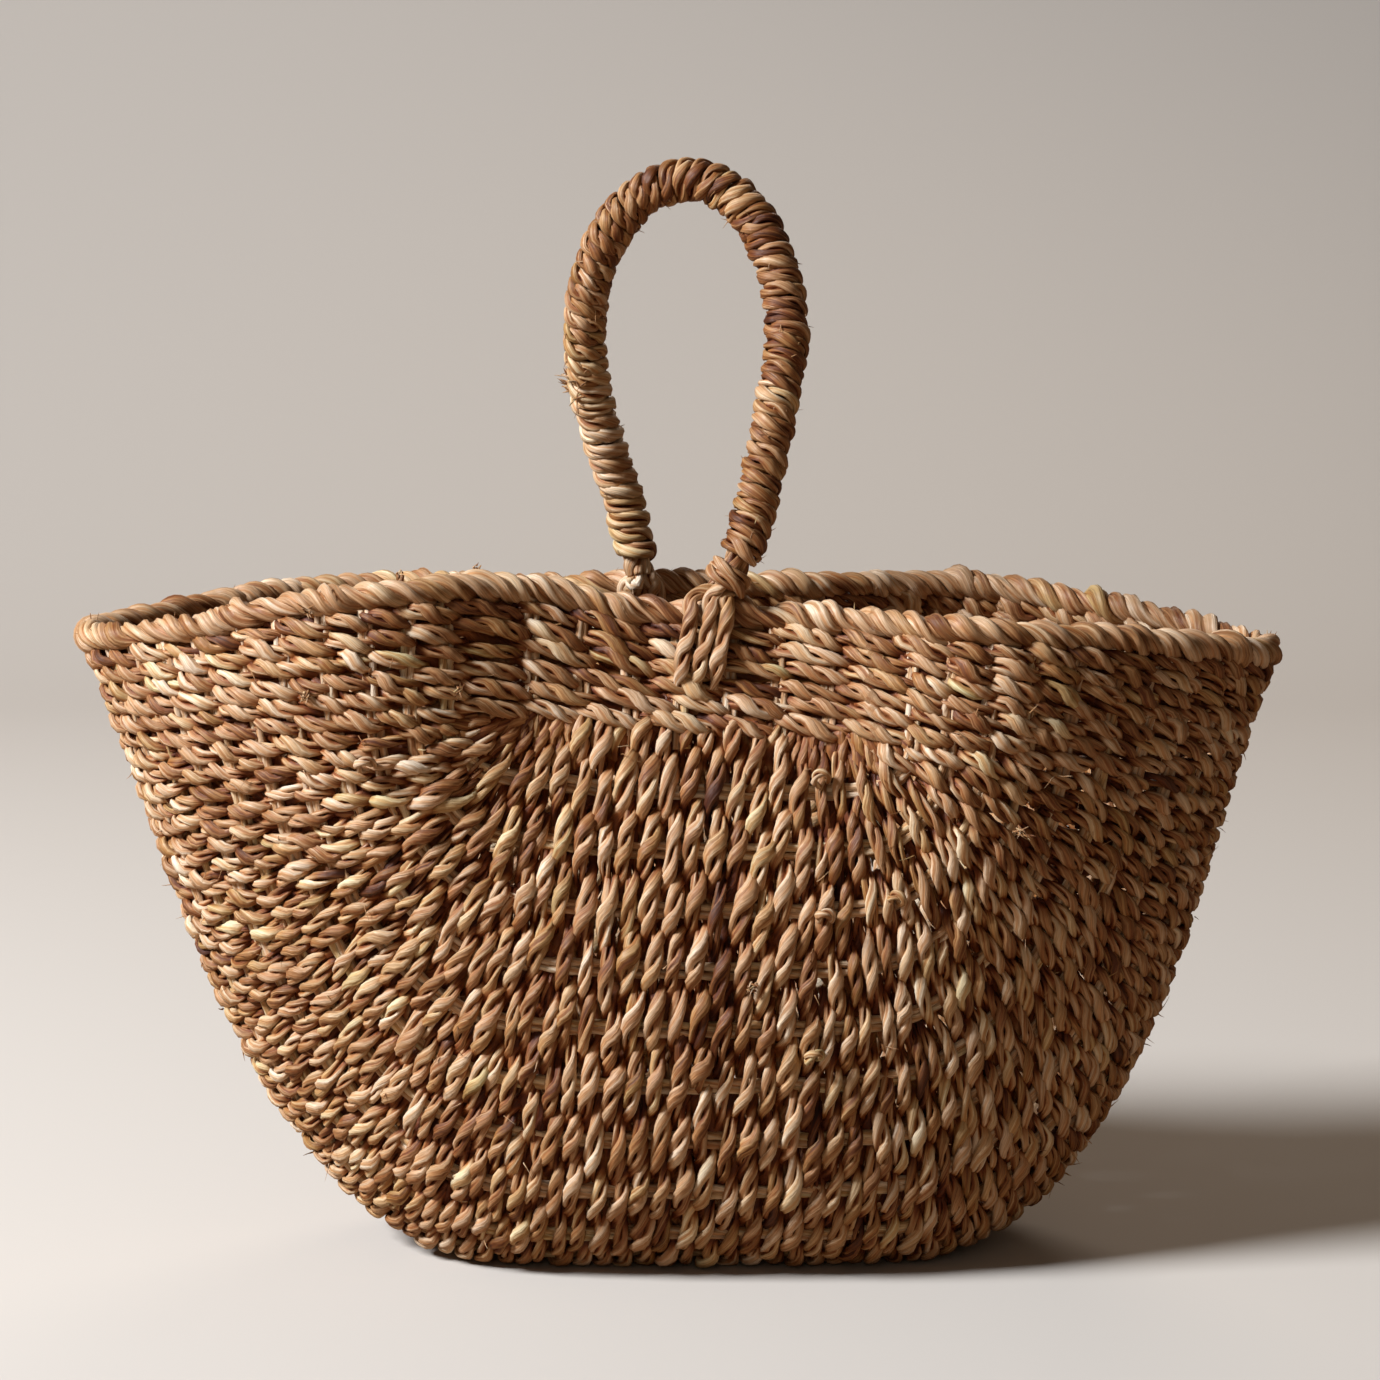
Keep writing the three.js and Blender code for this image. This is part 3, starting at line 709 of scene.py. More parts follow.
def twined_row(p, q, crossings, closed=False, keep=None, size=1.0, lay=LAY):
    """The two cords of a row. p and q run along it, crossings are the shares of its points
    where ribs cross it, and keep, 0 to 1 along it, thins the row out where it ends."""
    rough_run = run_of(wall(p, q))
    steps = max(int(rough_run[-1] / STEP), 8)
    run = np.linspace(0, rough_run[-1], steps + 1)
    if closed:
        run = run[:-1]
    spot = np.linspace(0, 1, len(p))
    at_rib = np.interp(crossings, spot, rough_run)
    p, q = np.interp(run, rough_run, p), np.interp(run, rough_run, q)
    keep = np.ones(len(run)) if keep is None else np.interp(run, rough_run, keep)
    size = np.interp(run, rough_run, np.broadcast_to(size, len(rough_run)))
    middle, out = wall(p, q), way_out(p, q)
    ahead = heading(middle, closed)
    across = unit(np.cross(ahead, out))
    turn = turning(run, at_rib, rough_run[-1], closed)
    # Stitches made by hand are never quite even, so the turning wanders a little.
    fade = joint_fade(run, closed)
    turn = turn + rng.uniform(-0.8, 0.8) + 0.35 * wander(turn / 4) * fade
    made = []
    for first in (0, 1):
        th = turn + np.pi * first
        count = th / np.pi
        c, s = np.cos(th), np.sin(th)
        big, fat, stray = (scale * wander(count) * fade for scale in (0.10, 0.12, 0.55))
        # Where the row ends it gets thinner and sinks into the wall.
        shrink = size * (0.68 + 0.32 * keep) * (1 + fat)
        off = STAND_OUT * (1 + big) * flattened(c) * np.sqrt(keep) * size - 2.5 * (1 - keep)
        aside = PART * s * shrink + stray
        line = middle + off[:, None] * out + aside[:, None] * across
        # A cord is broad over a rib, narrow where it crosses the other, and broadest inside.
        broad = BROAD * (0.83 + 0.21 * np.abs(c) ** 1.5 + 0.40 * smooth(-c)) * shrink
        tint = 0.56 + rng.normal(0, 0.05) + 0.11 * wander(count / 1.3) * fade
        parts = cord(line, out, THICK * shrink, broad, lay * rng.uniform(0.85, 1.15),
                     closed=closed, tint=tint)
        for part in parts:
            # Painted shade: the colour darkens where a cord lies deep in the wall, between its outside
            # and inside.
            from_wall = ((part["ring"] - middle[:, None]) * out[:, None]).sum(-1)
            depth = smooth((np.abs(from_wall) / (STAND_OUT + 0.4 * THICK) + 0.15) / 0.85)
            part["shade"] = part["shade"] * depth
        made.append(parts)
    return made


def weave(name, pairs):
    """Two pieces from rows of twining: the first cord of every pair, and the second."""
    for which, word in enumerate(("first", "second")):
        strands = sum((pair[which] for pair in pairs), [])
        rows = piece(f"{name}_rows_{word}", strands, weft_finish, "basket")
        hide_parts(f"weft_{name}_outer", f"weft_{name}_inner")


print("a stitch is", STITCH, "mm long")

# %% [markdown]
# ## Where ribs and rows run
# The ribs run the length of the basket, so their place across the panel also sets the arc
# that they follow over each end. Over the ends the rows fan out from two corners under the
# band. The photograph shows these nearer to the middle than the ends of the CAD model's
# panel, so the wall is the CAD model's and the corners are the photograph's.

# %% Ribs, corners and the net that the rows follow
RIBS = 23
rib_across = -1 + 2 * np.arange(1, RIBS + 1) / (RIBS + 1)
rib_arcs = 2 * np.arctan(rib_across)
UNDER_RIM = 4.4  # from the middle of the rim rope down to the top of the band
BAND_TOP = 1 - UNDER_RIM / SIDE_LENGTH
CORNERS = {-1: 44.0, 1: 42.0}  # from the middle to the left and right corners of the rows


def fan_point(arc, row, sign):
    """A place on the flat oval: arc says which rib it is on, and row which row, from 0 for
    the upright one at the corner to a quarter turn for the foot of the band."""
    apart = 1 + np.cos(arc) * np.cos(row)
    p = PANEL_SHARE + BAND_FOOT * np.cos(arc) * np.sin(row) / apart
    p = p - (PANEL_SHARE - CORNERS[sign] / SIDE_LENGTH) * (1 - np.sin(row))
    return sign * p, BAND_FOOT * np.sin(arc) / apart


print("ribs:", RIBS, "- corners at", CORNERS, "mm")

# %% [markdown]
# ## A fan that doesn't crowd
# A fan would crowd near its corner, so rows end on the way, as they do in the real basket.
# The fan is cut by stations along the basket's depth. Each row has a rank, spread so that
# neighbours never end together, and is shown at a station where there is room for its rank.

# %% The rows over an end
STATIONS = 420
STEEPEST = 1.56  # the arc of the first and the last station: just under a quarter turn
PITCH = 7.7  # the room that the fan plans for a row
EASE = 5.0  # how many rows share the room that one gives up
SHOWN = 0.42  # the weight from which a row is there
SHORTEST = 14  # in stations
FULL_ROOM = 8.8  # the room in which a row has its full thickness
DIVE = 0.012  # by which share a row's ends reach behind the band
THINNING = 12.0  # the run over which a row thins out to its ends
LEAST_KEPT = 0.15  # what is kept of it there
LEAST_SIZE, MOST_SIZE = 0.78, 1.12  # of a row, as it fills its room


def evened(values, each_side, shape=np.ones):
    """Each value evened out with so many neighbours on each side."""
    kernel = shape(2 * each_side + 1) / shape(2 * each_side + 1).sum()
    return np.convolve(np.pad(values, each_side, mode="edge"), kernel, mode="valid")


def shown_span(shown):
    """The stations at which a row is there, without a gap, about the middle one."""
    here = np.flatnonzero(shown)
    if len(here) < SHORTEST:
        return here[:0]
    low = high = here[np.argmin(np.abs(here - STATIONS // 2))]
    while low > 0 and shown[low - 1]:
        low -= 1
    while high < STATIONS - 1 and shown[high + 1]:
        high += 1
    return np.arange(low, high + 1)


def room_beside(j, shown, place):
    """Half the way from row j to the next shown row on either side, as a share."""
    near = np.flatnonzero(shown)
    i = np.searchsorted(near, j)
    before = place[near[i - 1]] if i > 0 else -place[near[0]]
    after = place[near[i + 1]] if i + 1 < len(near) else 2 - place[near[-1]]
    return (after - before) / 2


def fan_rows(sign):
    """The rows over the left end, -1, or the right end, 1: what twined_row wants of each."""
    arcs = np.linspace(-STEEPEST, STEEPEST, STATIONS)
    angles = np.linspace(0, np.pi / 2, 90)
    p, q = fan_point(arcs[:, None], angles[None, :], sign)
    steps = np.linalg.norm(np.diff(wall(p, q), axis=1), axis=2)
    runs = np.concatenate([np.zeros((STATIONS, 1)), np.cumsum(steps, axis=1)], axis=1)
    room = runs[:, -1] / PITCH
    count = int(round(room.max()))
    # The six bits of a row's number in reverse give its rank, so even rows outlast odd ones.
    key = [sum(((j >> b) & 1) / 2 ** (b + 1) for b in range(6)) for j in range(count)]
    rank = np.argsort(np.argsort(key, kind="stable"))
    weight = smooth((room[:, None] - rank[None, :] + EASE / 2) / EASE) + 1e-6
    place = (np.cumsum(weight, axis=1) - 0.5 * weight) / weight.sum(axis=1, keepdims=True)
    shown = weight > SHOWN
    rows = []
    for j in range(count):
        span = shown_span(shown[:, j])
        if len(span) <= SHORTEST:
            continue
        low, high = span[0], span[-1]
        smoothed = evened(place[:, j], 15, np.hanning)
        room_here = [room_beside(j, shown[k], place[k]) * runs[k, -1] / FULL_ROOM for k in span]
        room_here = evened(room_here, 8)
        angle = np.array([np.interp(smoothed[k] * runs[k, -1], runs[k], angles) for k in span])
        row_p, row_q = fan_point(arcs[span], angle, sign)
        row_q = row_q * (1 + DIVE * np.cos(angle))
        run = run_of(wall(row_p, row_q))
        keep = LEAST_KEPT + (1 - LEAST_KEPT) * smooth(np.minimum(run, run[-1] - run) / THINNING)
        inside = rib_arcs[(rib_arcs > arcs[low]) & (rib_arcs < arcs[high])]
        cross = (inside - arcs[low]) / (arcs[high] - arcs[low])
        rows.append((row_p, row_q, cross, keep, np.clip(room_here, LEAST_SIZE, MOST_SIZE)))
    return rows


left_fan, right_fan = fan_rows(-1), fan_rows(1)
print("rows over each end:", len(left_fan), len(right_fan))

# %% Weave the two ends
for name, fan in (("left_end", left_fan), ("right_end", right_fan)):
    weave(name, [twined_row(p, q, cross, keep=keep, size=room) for p, q, cross, keep, room in fan])

# %% [markdown]
# ## The middle panel
# Ten rows run down the front, under the base and up the back. Their ends are tucked
# behind the lowest row of the band, so each row dives in over its last few millimetres.

# %% Weave the panel
PANEL_ROWS = 10
PANEL_SIZE, PANEL_LAY = 0.91, 31.0  # thinner and more slackly laid than over the ends
LEAST_TUCK, MOST_TUCK = 1.5, 5.0  # how far a row's ends reach behind the band
PANEL_THINNING, PANEL_KEPT = 6, 0.45  # the run over which they thin out, and what is kept
q_line = np.linspace(-1, 1, 500)
panel_pairs = []
for i in range(PANEL_ROWS):
    x = -CORNERS[-1] + (i + 0.5) / PANEL_ROWS * (CORNERS[-1] + CORNERS[1])
    p_line = np.full(500, x / SIDE_LENGTH)
    reach = BAND_FOOT + rng.uniform(LEAST_TUCK, MOST_TUCK) / SIDE_LENGTH
    cross = 0.5 + rib_across * BAND_FOOT / reach / 2
    to_end = (1 - np.abs(q_line)) * reach * SIDE_LENGTH
    keep = PANEL_KEPT + (1 - PANEL_KEPT) * smooth(to_end / PANEL_THINNING)
    panel_pairs.append(twined_row(p_line, q_line * reach, cross, keep=keep, size=PANEL_SIZE,
                                  lay=PANEL_LAY))
weave("panel", panel_pairs)

# %% [markdown]
# ## The band
# Six level rows run once round the mouth under the rim rope. They have no end that shows, so
# each strand is a closed ring. Over the panel, where no rib comes up, short stakes carry them.

# %% Weave the band
BAND_ROWS = 6
BAND_SIZE = 0.89
STAKES = np.linspace(-0.75, 0.75, 7)  # as shares of the CAD model's panel
ROUND_END, BESIDE_PANEL = 420, 158  # points of a mouth line round an end, and beside the panel


def round_mouth(up):
    """A closed line round the mouth, so far up, as p and q."""
    arcs = np.linspace(-np.pi / 2, np.pi / 2, ROUND_END)
    straight = np.linspace(1, -1, BESIDE_PANEL + 2)[1:-1] * PANEL_SHARE
    p = np.concatenate([PANEL_SHARE + up * np.cos(arcs), straight,
                        -PANEL_SHARE - up * np.cos(arcs), -straight, [PANEL_SHARE]])
    q = np.concatenate([up * np.sin(arcs), np.full(BESIDE_PANEL, up), -up * np.sin(arcs),
                        np.full(BESIDE_PANEL, -up), [-up]])
    return p, q


def band_crossings():
    """Where ribs and stakes cross a mouth line, as shares of its points."""
    half = ROUND_END + BESIDE_PANEL
    arc_share = (rib_arcs / np.pi + 0.5) * (ROUND_END - 1)
    stake_share = (1 - STAKES) / 2 * (BESIDE_PANEL + 1)
    first = np.concatenate([arc_share, ROUND_END - 1 + stake_share])
    return np.concatenate([first, first + half]) / (2 * half)


band_pairs = []
for i in range(BAND_ROWS):
    up = BAND_FOOT + (BAND_TOP - BAND_FOOT) * (i + 0.5) / BAND_ROWS
    band_pairs.append(twined_row(*round_mouth(up), band_crossings(), closed=True, size=BAND_SIZE))
weave("band", band_pairs)

# %% [markdown]
# ## Ribs and stakes
# A rib is a pair of thin cords. They show as short pale bars between the stitches, so they
# lie a little apart: one nearer the outside and one nearer the inside of the wall.

# %% Rib cords and stake cords
THIN_STEP = 4.5  # between the rings of a thin cord
APART = 1.5  # of each thin cord from the rib's middle line
THIN_HALF = 1.9, 2.0  # half its thickness and half its breadth


def rib_line(i):
    """Rib i from the left rim to the right one, as p and q."""
    arc = rib_arcs[i]
    rows = np.linspace(0, np.pi / 2, 40)
    band = np.linspace(BAND_FOOT, BAND_TOP, 8)[1:]
    (left_p, end_q), (right_p, _) = (fan_point(arc, rows, sign) for sign in (-1, 1))
    left_p = np.concatenate([left_p, -PANEL_SHARE - band * np.cos(arc)])
    right_p = np.concatenate([right_p, PANEL_SHARE + band * np.cos(arc)])
    end_q = np.concatenate([end_q, band * np.sin(arc)])
    inner = np.linspace(left_p[0], right_p[0], 20)[1:-1]
    p = np.concatenate([left_p[::-1], inner, right_p])
    across = np.full(len(inner), rib_across[i] * BAND_FOOT)
    q = np.concatenate([end_q[::-1], across, end_q])
    return p, q


def thin_cords(p, q):
    """The two thin cords of a rib or a stake."""
    rough = run_of(wall(p, q))
    run = np.linspace(0, rough[-1], max(int(rough[-1] / THIN_STEP), 4))
    p, q = np.interp(run, rough, p), np.interp(run, rough, q)
    middle, out = wall(p, q), way_out(p, q)
    across = unit(np.cross(heading(middle), out))
    made = []
    for face in (1, -1):
        # They waver a little off the rib's line, and are paler than the weft.
        shift = 0.35 * wander(run / 25)
        aside = APART * face + 0.3 * wander(run / 25)
        line = middle + shift[:, None] * out + aside[:, None] * across
        tint = 0.76 + rng.normal(0, 0.05) + 0.08 * wander(run / 30)
        part = strand(line, out, *THIN_HALF, turn=60, tint=tint, sides=7)
        # Painted shade: the thin cords are darkened a little, as they lie between the stitches.
        part["shade"] = part["shade"] * 0.92
        made.append(part)
    return made


rib_strands = [c for i in range(RIBS) for c in thin_cords(*rib_line(i))]
ribs = piece("rib_cords", rib_strands, rib_finish, "basket")
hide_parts(*(f"rib_{i:02d}" for i in range(1, RIBS + 1)))
stake_strands = []
for place in STAKES:
    for sign in (-1, 1):
        up = np.linspace(BAND_FOOT - 0.02, BAND_TOP, 12)
        stake_strands += thin_cords(np.full(12, place * PANEL_SHARE), sign * up)
stakes = piece("stake_cords", stake_strands, rib_finish, "basket")
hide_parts(*(f"stake_{s}_{i}" for s in ("front", "back") for i in (1, 2, 3)))

# %% [markdown]
# ## The rim
# The rim is a thick rope of three strands, laid round the mouth over the ends of the ribs. It
# is the same cord as above, with a third strand, deeper creases and a whole number of turns.

# %% Lines with even steps
def even(line, step, closed=False):
    """The same line with even steps, and room for the joint of a closed one."""
    line = np.concatenate([line, line[:1]]) if closed else line
    run = run_of(line)
    count = int(run[-1] / step)
    at = np.linspace(0, run[-1], count + 1)
    at = at[:-1] if closed else at
    return np.stack([np.interp(at, run, line[:, k]) for k in range(3)], 1), at / run[-1]


# %% Rim rope
rim_p, rim_q = round_mouth(1.0)
rim_line, share = even(wall(rim_p, rim_q)[:-1], 1.5, closed=True)
rim_run = run_of(wall(rim_p, rim_q))
rim_out = way_out(np.interp(share * rim_run[-1], rim_run, rim_p),
                  np.interp(share * rim_run[-1], rim_run, rim_q))
rim_strands = cord(rim_line, rim_out, thick=10.5, broad=11.0, lay=26.5, plies=3, closed=True,
                   sides=14, tint=0.49, rough=0.16, crease=0.34)
rim = piece("rim_twisted_rope", rim_strands, rope_finish, "basket")
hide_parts("rim_rope")

# %% [markdown]
# ## The handle's middle line
# The handle is one loop from the back of the rim to the front. Its middle line is the CAD
# model's: given points, joined by a centripetal Catmull-Rom curve, which passes through
# them all and doesn't overshoot, with directions across it that never twist.

# %% A smooth line through points
def rim_near(x, sign):
    """The middle of the rim rope, so far along, in front, -1, or behind, 1."""
    return wall(x / PANEL_HALF * PANEL_SHARE, sign * 1.0)


def smooth_line(points, steps=60):
    """A centripetal Catmull-Rom curve through points."""
    pts = np.array(points, float)
    pts = np.concatenate([[2 * pts[0] - pts[1]], pts, [2 * pts[-1] - pts[-2]]])
    out = []
    for a, b, c, d in zip(pts, pts[1:], pts[2:], pts[3:]):
        t = np.cumsum([0, *(np.sqrt(np.linalg.norm(v)) for v in (b - a, c - b, d - c))])
        u = np.linspace(t[1], t[2], steps, endpoint=False)[:, None]
        ab = a + (b - a) * (u - t[0]) / (t[1] - t[0])
        bc = b + (c - b) * (u - t[1]) / (t[2] - t[1])
        cd = c + (d - c) * (u - t[2]) / (t[3] - t[2])
        abc = ab + (bc - ab) * (u - t[0]) / (t[2] - t[0])
        bcd = bc + (cd - bc) * (u - t[1]) / (t[3] - t[1])
        out.append(abc + (bcd - abc) * (u - t[1]) / (t[2] - t[1]))
    out.append(pts[-2][None])
    return np.concatenate(out)


print("the front of the rim stands at", rim_near(0, -1).round(1))

# %% Points of the handle, and directions across it
CORD = 1.9  # half the thickness of a bare cord of the handle
RIM_ROPE, CLEAR, SLACK = 5.5, 0.35, 0.3  # half the rope, the gap to it, and what the rope bulges
BESIDE = RIM_ROPE + CORD + CLEAR + SLACK  # from the rim's middle to a cord that passes it
BACK_X, FRONT_X = -16.5, 17
back_foot = rim_near(BACK_X, 1) + (0, -BESIDE - CORD, 2)
front_foot = rim_near(FRONT_X, -1) + (0, -1.5, 11.5)
LOOP = [(-23, 46, 298), (-32.5, 37, 328.5), (-38.5, 25.5, 359), (-37, 15, 389.5), (-26.5, 7, 415),
        (-10, 2, 430.5), (10, -3.5, 433), (28, -10, 421), (39, -18, 398), (42.5, -27, 371.5),
        (38, -38, 344), (32, -46, 316), (26, -53, 293)]
fine, _ = even(smooth_line([back_foot, *LOOP, front_foot]), 0.55)
fine_run = run_of(fine)
HANDLE = fine_run[-1]
fine_ahead = heading(fine)
fine_up = np.zeros_like(fine)
side_way = np.array([0.0, 1.0, 0.0])
for i, ahead in enumerate(fine_ahead):
    side_way = side_way - side_way @ ahead * ahead
    side_way = side_way / np.linalg.norm(side_way)
    fine_up[i] = side_way
fine_across = np.cross(fine_ahead, fine_up)
print("the handle is", round(HANDLE, 1), "mm long")


def beside_line(distance, away, angle):
    """Points beside the handle's middle line, and the way out from it there."""
    at = [[np.interp(distance, fine_run, v[:, k]) for k in range(3)]
          for v in (fine, fine_up, fine_across)]
    centre, up, across = (np.array(v).T for v in at)
    way = unit(np.cos(angle)[:, None] * up + np.sin(angle)[:, None] * across)
    return centre + np.broadcast_to(away, len(distance))[:, None] * way, way


# %% [markdown]
# ## The wrapping
# A cord of two strands is wound closely round the three cords inside, in three lengths that
# follow each other. The winding is real: one long line that runs round the middle line and
# along it. Its pitch, its lay and its colour change along the handle, as by hand.

# %% Wrap the handle
WRAP_BACK, WRAP_FRONT = 8.5, 12.5  # from each foot to the nearest turn
WRAP_AWAY = 6.8  # from the handle's middle line to the middle of the wrapping cord
WRAP_THICK = 4.9
RINGS_A_TURN = 28
PACKED = 1.09  # the breadth of the cord as a share of the pitch, so that its turns touch
# Along the handle, from the back foot: how far apart the turns are, the lay of the cord, which
# is hard-twisted on the upper left, where it looks plaited, and slack elsewhere, and its tint,
# which is palest on the left leg.
SPOTS = [0.0, 0.2, 0.24, 0.42, 0.5, 0.62, 1.0]
PITCHES = [6.7, 6.6, 6.2, 6.0, 5.8, 5.6, 5.7]
LAYS = [46, 42, 15, 14, 21, 33, 40]
TINTS = [0.68, 0.69, 0.65, 0.36, 0.32, 0.42, 0.43]
wrap_from, wrap_to = WRAP_BACK + 2, HANDLE - WRAP_FRONT - 2
distance = np.linspace(wrap_from, wrap_to, 4000)
part_way = np.linspace(0, 1, 4000)
pitch = np.interp(part_way, SPOTS, PITCHES)
turns = np.concatenate([[0], np.cumsum(np.diff(distance) / pitch[1:])])
even_turns = np.linspace(0, turns[-1], int(turns[-1] * RINGS_A_TURN))
distance = np.interp(even_turns, turns, distance) + 0.28 * wander(even_turns * 1.2)
part_way = (distance - wrap_from) / (wrap_to - wrap_from)
pitch = np.interp(part_way, SPOTS, PITCHES)
away = WRAP_AWAY + 0.22 * wander(even_turns * 2.8)
wrap_line, wrap_out = beside_line(distance, away, -2 * np.pi * even_turns)
wrap_tint = np.interp(part_way, SPOTS, TINTS) + 0.05 * wander(even_turns / 4)
wrap_tint = wrap_tint + 0.06 * wander(even_turns * 0.9)
wrap_lay = np.interp(part_way, SPOTS, LAYS)
wrap_strands = cord(wrap_line, wrap_out, WRAP_THICK, PACKED * pitch, wrap_lay, tint=wrap_tint,
                    sides=10, rough=0.08)
wrapping = piece("handle_wrapping", wrap_strands, wrap_finish, "handle")
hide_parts("handle_wrap_back", "handle_wrap_top", "handle_wrap_front")

# %% [markdown]
# ## Core and necks
# Three cords lie together inside the wrapping. Below it they are bare for a few millimetres:
# that neck is where the handle leans. There the bare cords part a little, because nothing
# holds them together.

# %% Core cords
BARELY_APART = 0.175  # half the gap between two cords of the core
CORE_AWAY = (CORD + BARELY_APART) / math.sin(math.pi / 3)
HIDDEN = 3  # how far the necks reach into the wrapping
LOOSENING = 7  # the run over which the cords part from each other


def core_line(k, start, end, step=1.6, loosen=0.0):
    """Cord k of the three, from start to end along the handle, loosened where it is bare."""
    distance = np.linspace(start, end, max(int(abs(end - start) / step), 4))
    angle = 2 * np.pi * k / 3 + np.pi / 6 - 0.25 * distance / HANDLE
    wrapped_from, wrapped_to = WRAP_BACK + HIDDEN, HANDLE - WRAP_FRONT - HIDDEN
    bare = smooth(np.maximum(wrapped_from - distance, distance - wrapped_to) / LOOSENING)
    return beside_line(distance, CORE_AWAY + loosen * bare, angle)


core_parts = []
for k in range(3):
    line, way = core_line(k, WRAP_BACK, HANDLE - WRAP_FRONT)
    core_parts += cord(line, way, thick=4.4, broad=4.6, lay=14.0, tint=0.3, sides=7)
core = piece("handle_core_cords", core_parts, cord_finish, "handle")
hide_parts(*(f"handle_core_{k}" for k in (1, 2, 3)))

# %% Bare necks of the handle
NECK = 5.4
NECK_TINTS = {"back": 0.68, "front": 0.5}
LOOSEN = 1.3  # how far the bare cords part from each other
for name, start, end in (("back", WRAP_BACK - NECK, WRAP_BACK + HIDDEN),
                         ("front", HANDLE - WRAP_FRONT - HIDDEN, HANDLE - WRAP_FRONT + NECK)):
    parts = []
    for k in range(3):
        line, way = core_line(k, start, end, 0.8, LOOSEN)
        parts += cord(line, way, thick=6.0, broad=6.6, lay=34.0, tint=NECK_TINTS[name], sides=11)
    neck = piece(f"{name}_neck_cords", parts, cord_finish)
    low, high = (start, WRAP_BACK) if name == "back" else (end, HANDLE - WRAP_FRONT)
    feet = [np.array([np.interp(d, fine_run, fine[:, k]) for k in range(3)]) for d in (low, high)]
    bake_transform(neck)
    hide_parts(*(f"neck_{name}_{k}" for k in (1, 2, 3)))

# %% [markdown]
# ## Lashings and binding
# Below the necks the three cords are lashed to the basket: the front ones splay over the
# outside of the rim and the back ones run down its inside, each over the wall's formula and
# with its end tucked in. A few tight turns of cord bind the front foot.

# %% Lashings
# Where the three cords cross the top of the rim and where they end, from left to right.
LASH_TOP = {"front": (4.5, 12.0, 18.5), "back": (-22.5, -16.5, -10.5)}
LASH_END = {"front": (-0.5, 6.0, 13.0), "back": (-24, -16.5, -9)}
DROPS = (12, 21, 30)  # below the rim: points of a lashing on the wall, the last one tucked in
OFF_WALL = 5.0 + CORD + 0.85  # the band's half thickness, the cord's and the gap between them
PAST_ROPE = 0.4  # how much further out a lashing passes the rope's middle
SUNK = 0.35  # the share of the way off the wall at which a lashing's end stays
END_FROM, END_THINNER = 0.8, 0.45  # from what share on it thins, and by how much
for name, sign in (("front", -1), ("back", 1)):
    end = HANDLE if name == "front" else 0.0
    start = HANDLE - WRAP_FRONT + NECK if name == "front" else WRAP_BACK - NECK
    feet = [core_line(k, start, end, loosen=LOOSEN)[0] for k in range(3)]
    order = np.argsort([f[-1][0] for f in feet])
    parts = []
    for place, k in enumerate(order):
        x, end_x = LASH_TOP[name][place], LASH_END[name][place]
        top = rim_near(x, sign)
        points = [feet[k][0], feet[k][-1]]
        if name == "front":
            points.append(top + (0, -BESIDE * 0.75, BESIDE * 0.8))
        points.append(top + (0, -BESIDE - PAST_ROPE, 0))
        for drop in DROPS:
            p = (x + (end_x - x) * drop / DROPS[-1]) / PANEL_HALF * PANEL_SHARE
            q = sign * (1 - drop / SIDE_LENGTH)
            off = OFF_WALL * -sign * (SUNK if drop == DROPS[-1] else 1)
            points.append(wall(p, q) + off * way_out(p, q))
        line, _ = even(smooth_line(points, 20), 1.0)
        out = unit(line - np.array([x, line[:, 1].mean() + 30, 240.0]))
        passed = np.linspace(0, 1, len(line))
        size = 1 - END_THINNER * smooth((passed - END_FROM) / 0.2)
        parts += cord(line, out, thick=5.0 * size, broad=6.6 * size, lay=23.0, tint=0.56, sides=11)
    lashing = piece(f"{name}_lashing_cords", parts, cord_finish, "basket")
    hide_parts(*(f"lashing_{name}_{k}" for k in (1, 2, 3)))

# %% Binding of the front foot
BIND_FROM, BIND_TO, BIND_AWAY = 8.4, 0.6, 7.4  # from the foot, and from the handle's middle line
angle = -2 * np.pi * np.linspace(0.1, 2.1, 80)
distance = np.linspace(HANDLE - BIND_FROM, HANDLE - BIND_TO, 80)
line, way = beside_line(distance, BIND_AWAY, angle)
bind_strands = cord(line, way, thick=4.2, broad=5.4, lay=30.0, tint=0.5, sides=11)
binding = piece("front_foot_binding", bind_strands, wrap_finish, "basket")
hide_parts("front_binding")

# %% [markdown]
# ## Loose ends
# Hand-twisted cord is never tidy. Cut ends of ribs stand up behind the rim, new lengths of
# weft are tucked in with a curl or a tuft, and short fibres stick out everywhere. The larger
# ones stand where the photograph shows them, and the short fibres are scattered by chance.

# %% How a fibre, a tuft and a curl are made
FIBRE_RINGS = 7


def any_way(about, spread_angle):
    """A random direction within an angle of another one."""
    other = rng.standard_normal(3)
    side_way = unit(other - other @ about * about)
    tilt = spread_angle * math.sqrt(rng.uniform())
    return math.cos(tilt) * about + math.sin(tilt) * side_way


def fibre_end(start, way, length, radius, sag=0.25):
    """A short thin end, which gets thinner and bends a little to one side."""
    t = np.linspace(0, 1, FIBRE_RINGS)[:, None]
    bend_way = any_way(way, 1.5)
    points = start + way * (t - 0.3) * length + bend_way * t**2 * length * sag
    size = radius * (1 - 0.8 * t[:, 0] ** 1.5)
    return strand(points, np.cross(bend_way, way) + 1e-3, size, size * 1.5, turn=9,
                  tint=rng.uniform(0.35, 0.85), sides=5)


def tuft(start, out, count, length):
    """A few thin ends that stand close together."""
    return [fibre_end(start + any_way(out, 1.5) * 1.4, any_way(out, 0.9),
                      length * rng.uniform(0.6, 1.3), rng.uniform(0.3, 0.55)) for _ in range(count)]


def curl(start, out, along, radius):
    """A cord end that comes out of the weave as a small eye and is tucked back in."""
    lean = unit(0.75 * np.cross(out, along) - 0.65 * out)
    t = np.linspace(-1, 1, 40)[:, None]
    round_eye = np.radians(-90 + 150 * t)
    points = start + radius * (along * np.cos(round_eye) + lean * np.sin(round_eye))
    points = points + out * (0.5 * radius - 4.5 * t**4)
    return cord(points, unit(points - start), thick=3.0, broad=3.7, lay=14.0, tint=0.72, sides=8)


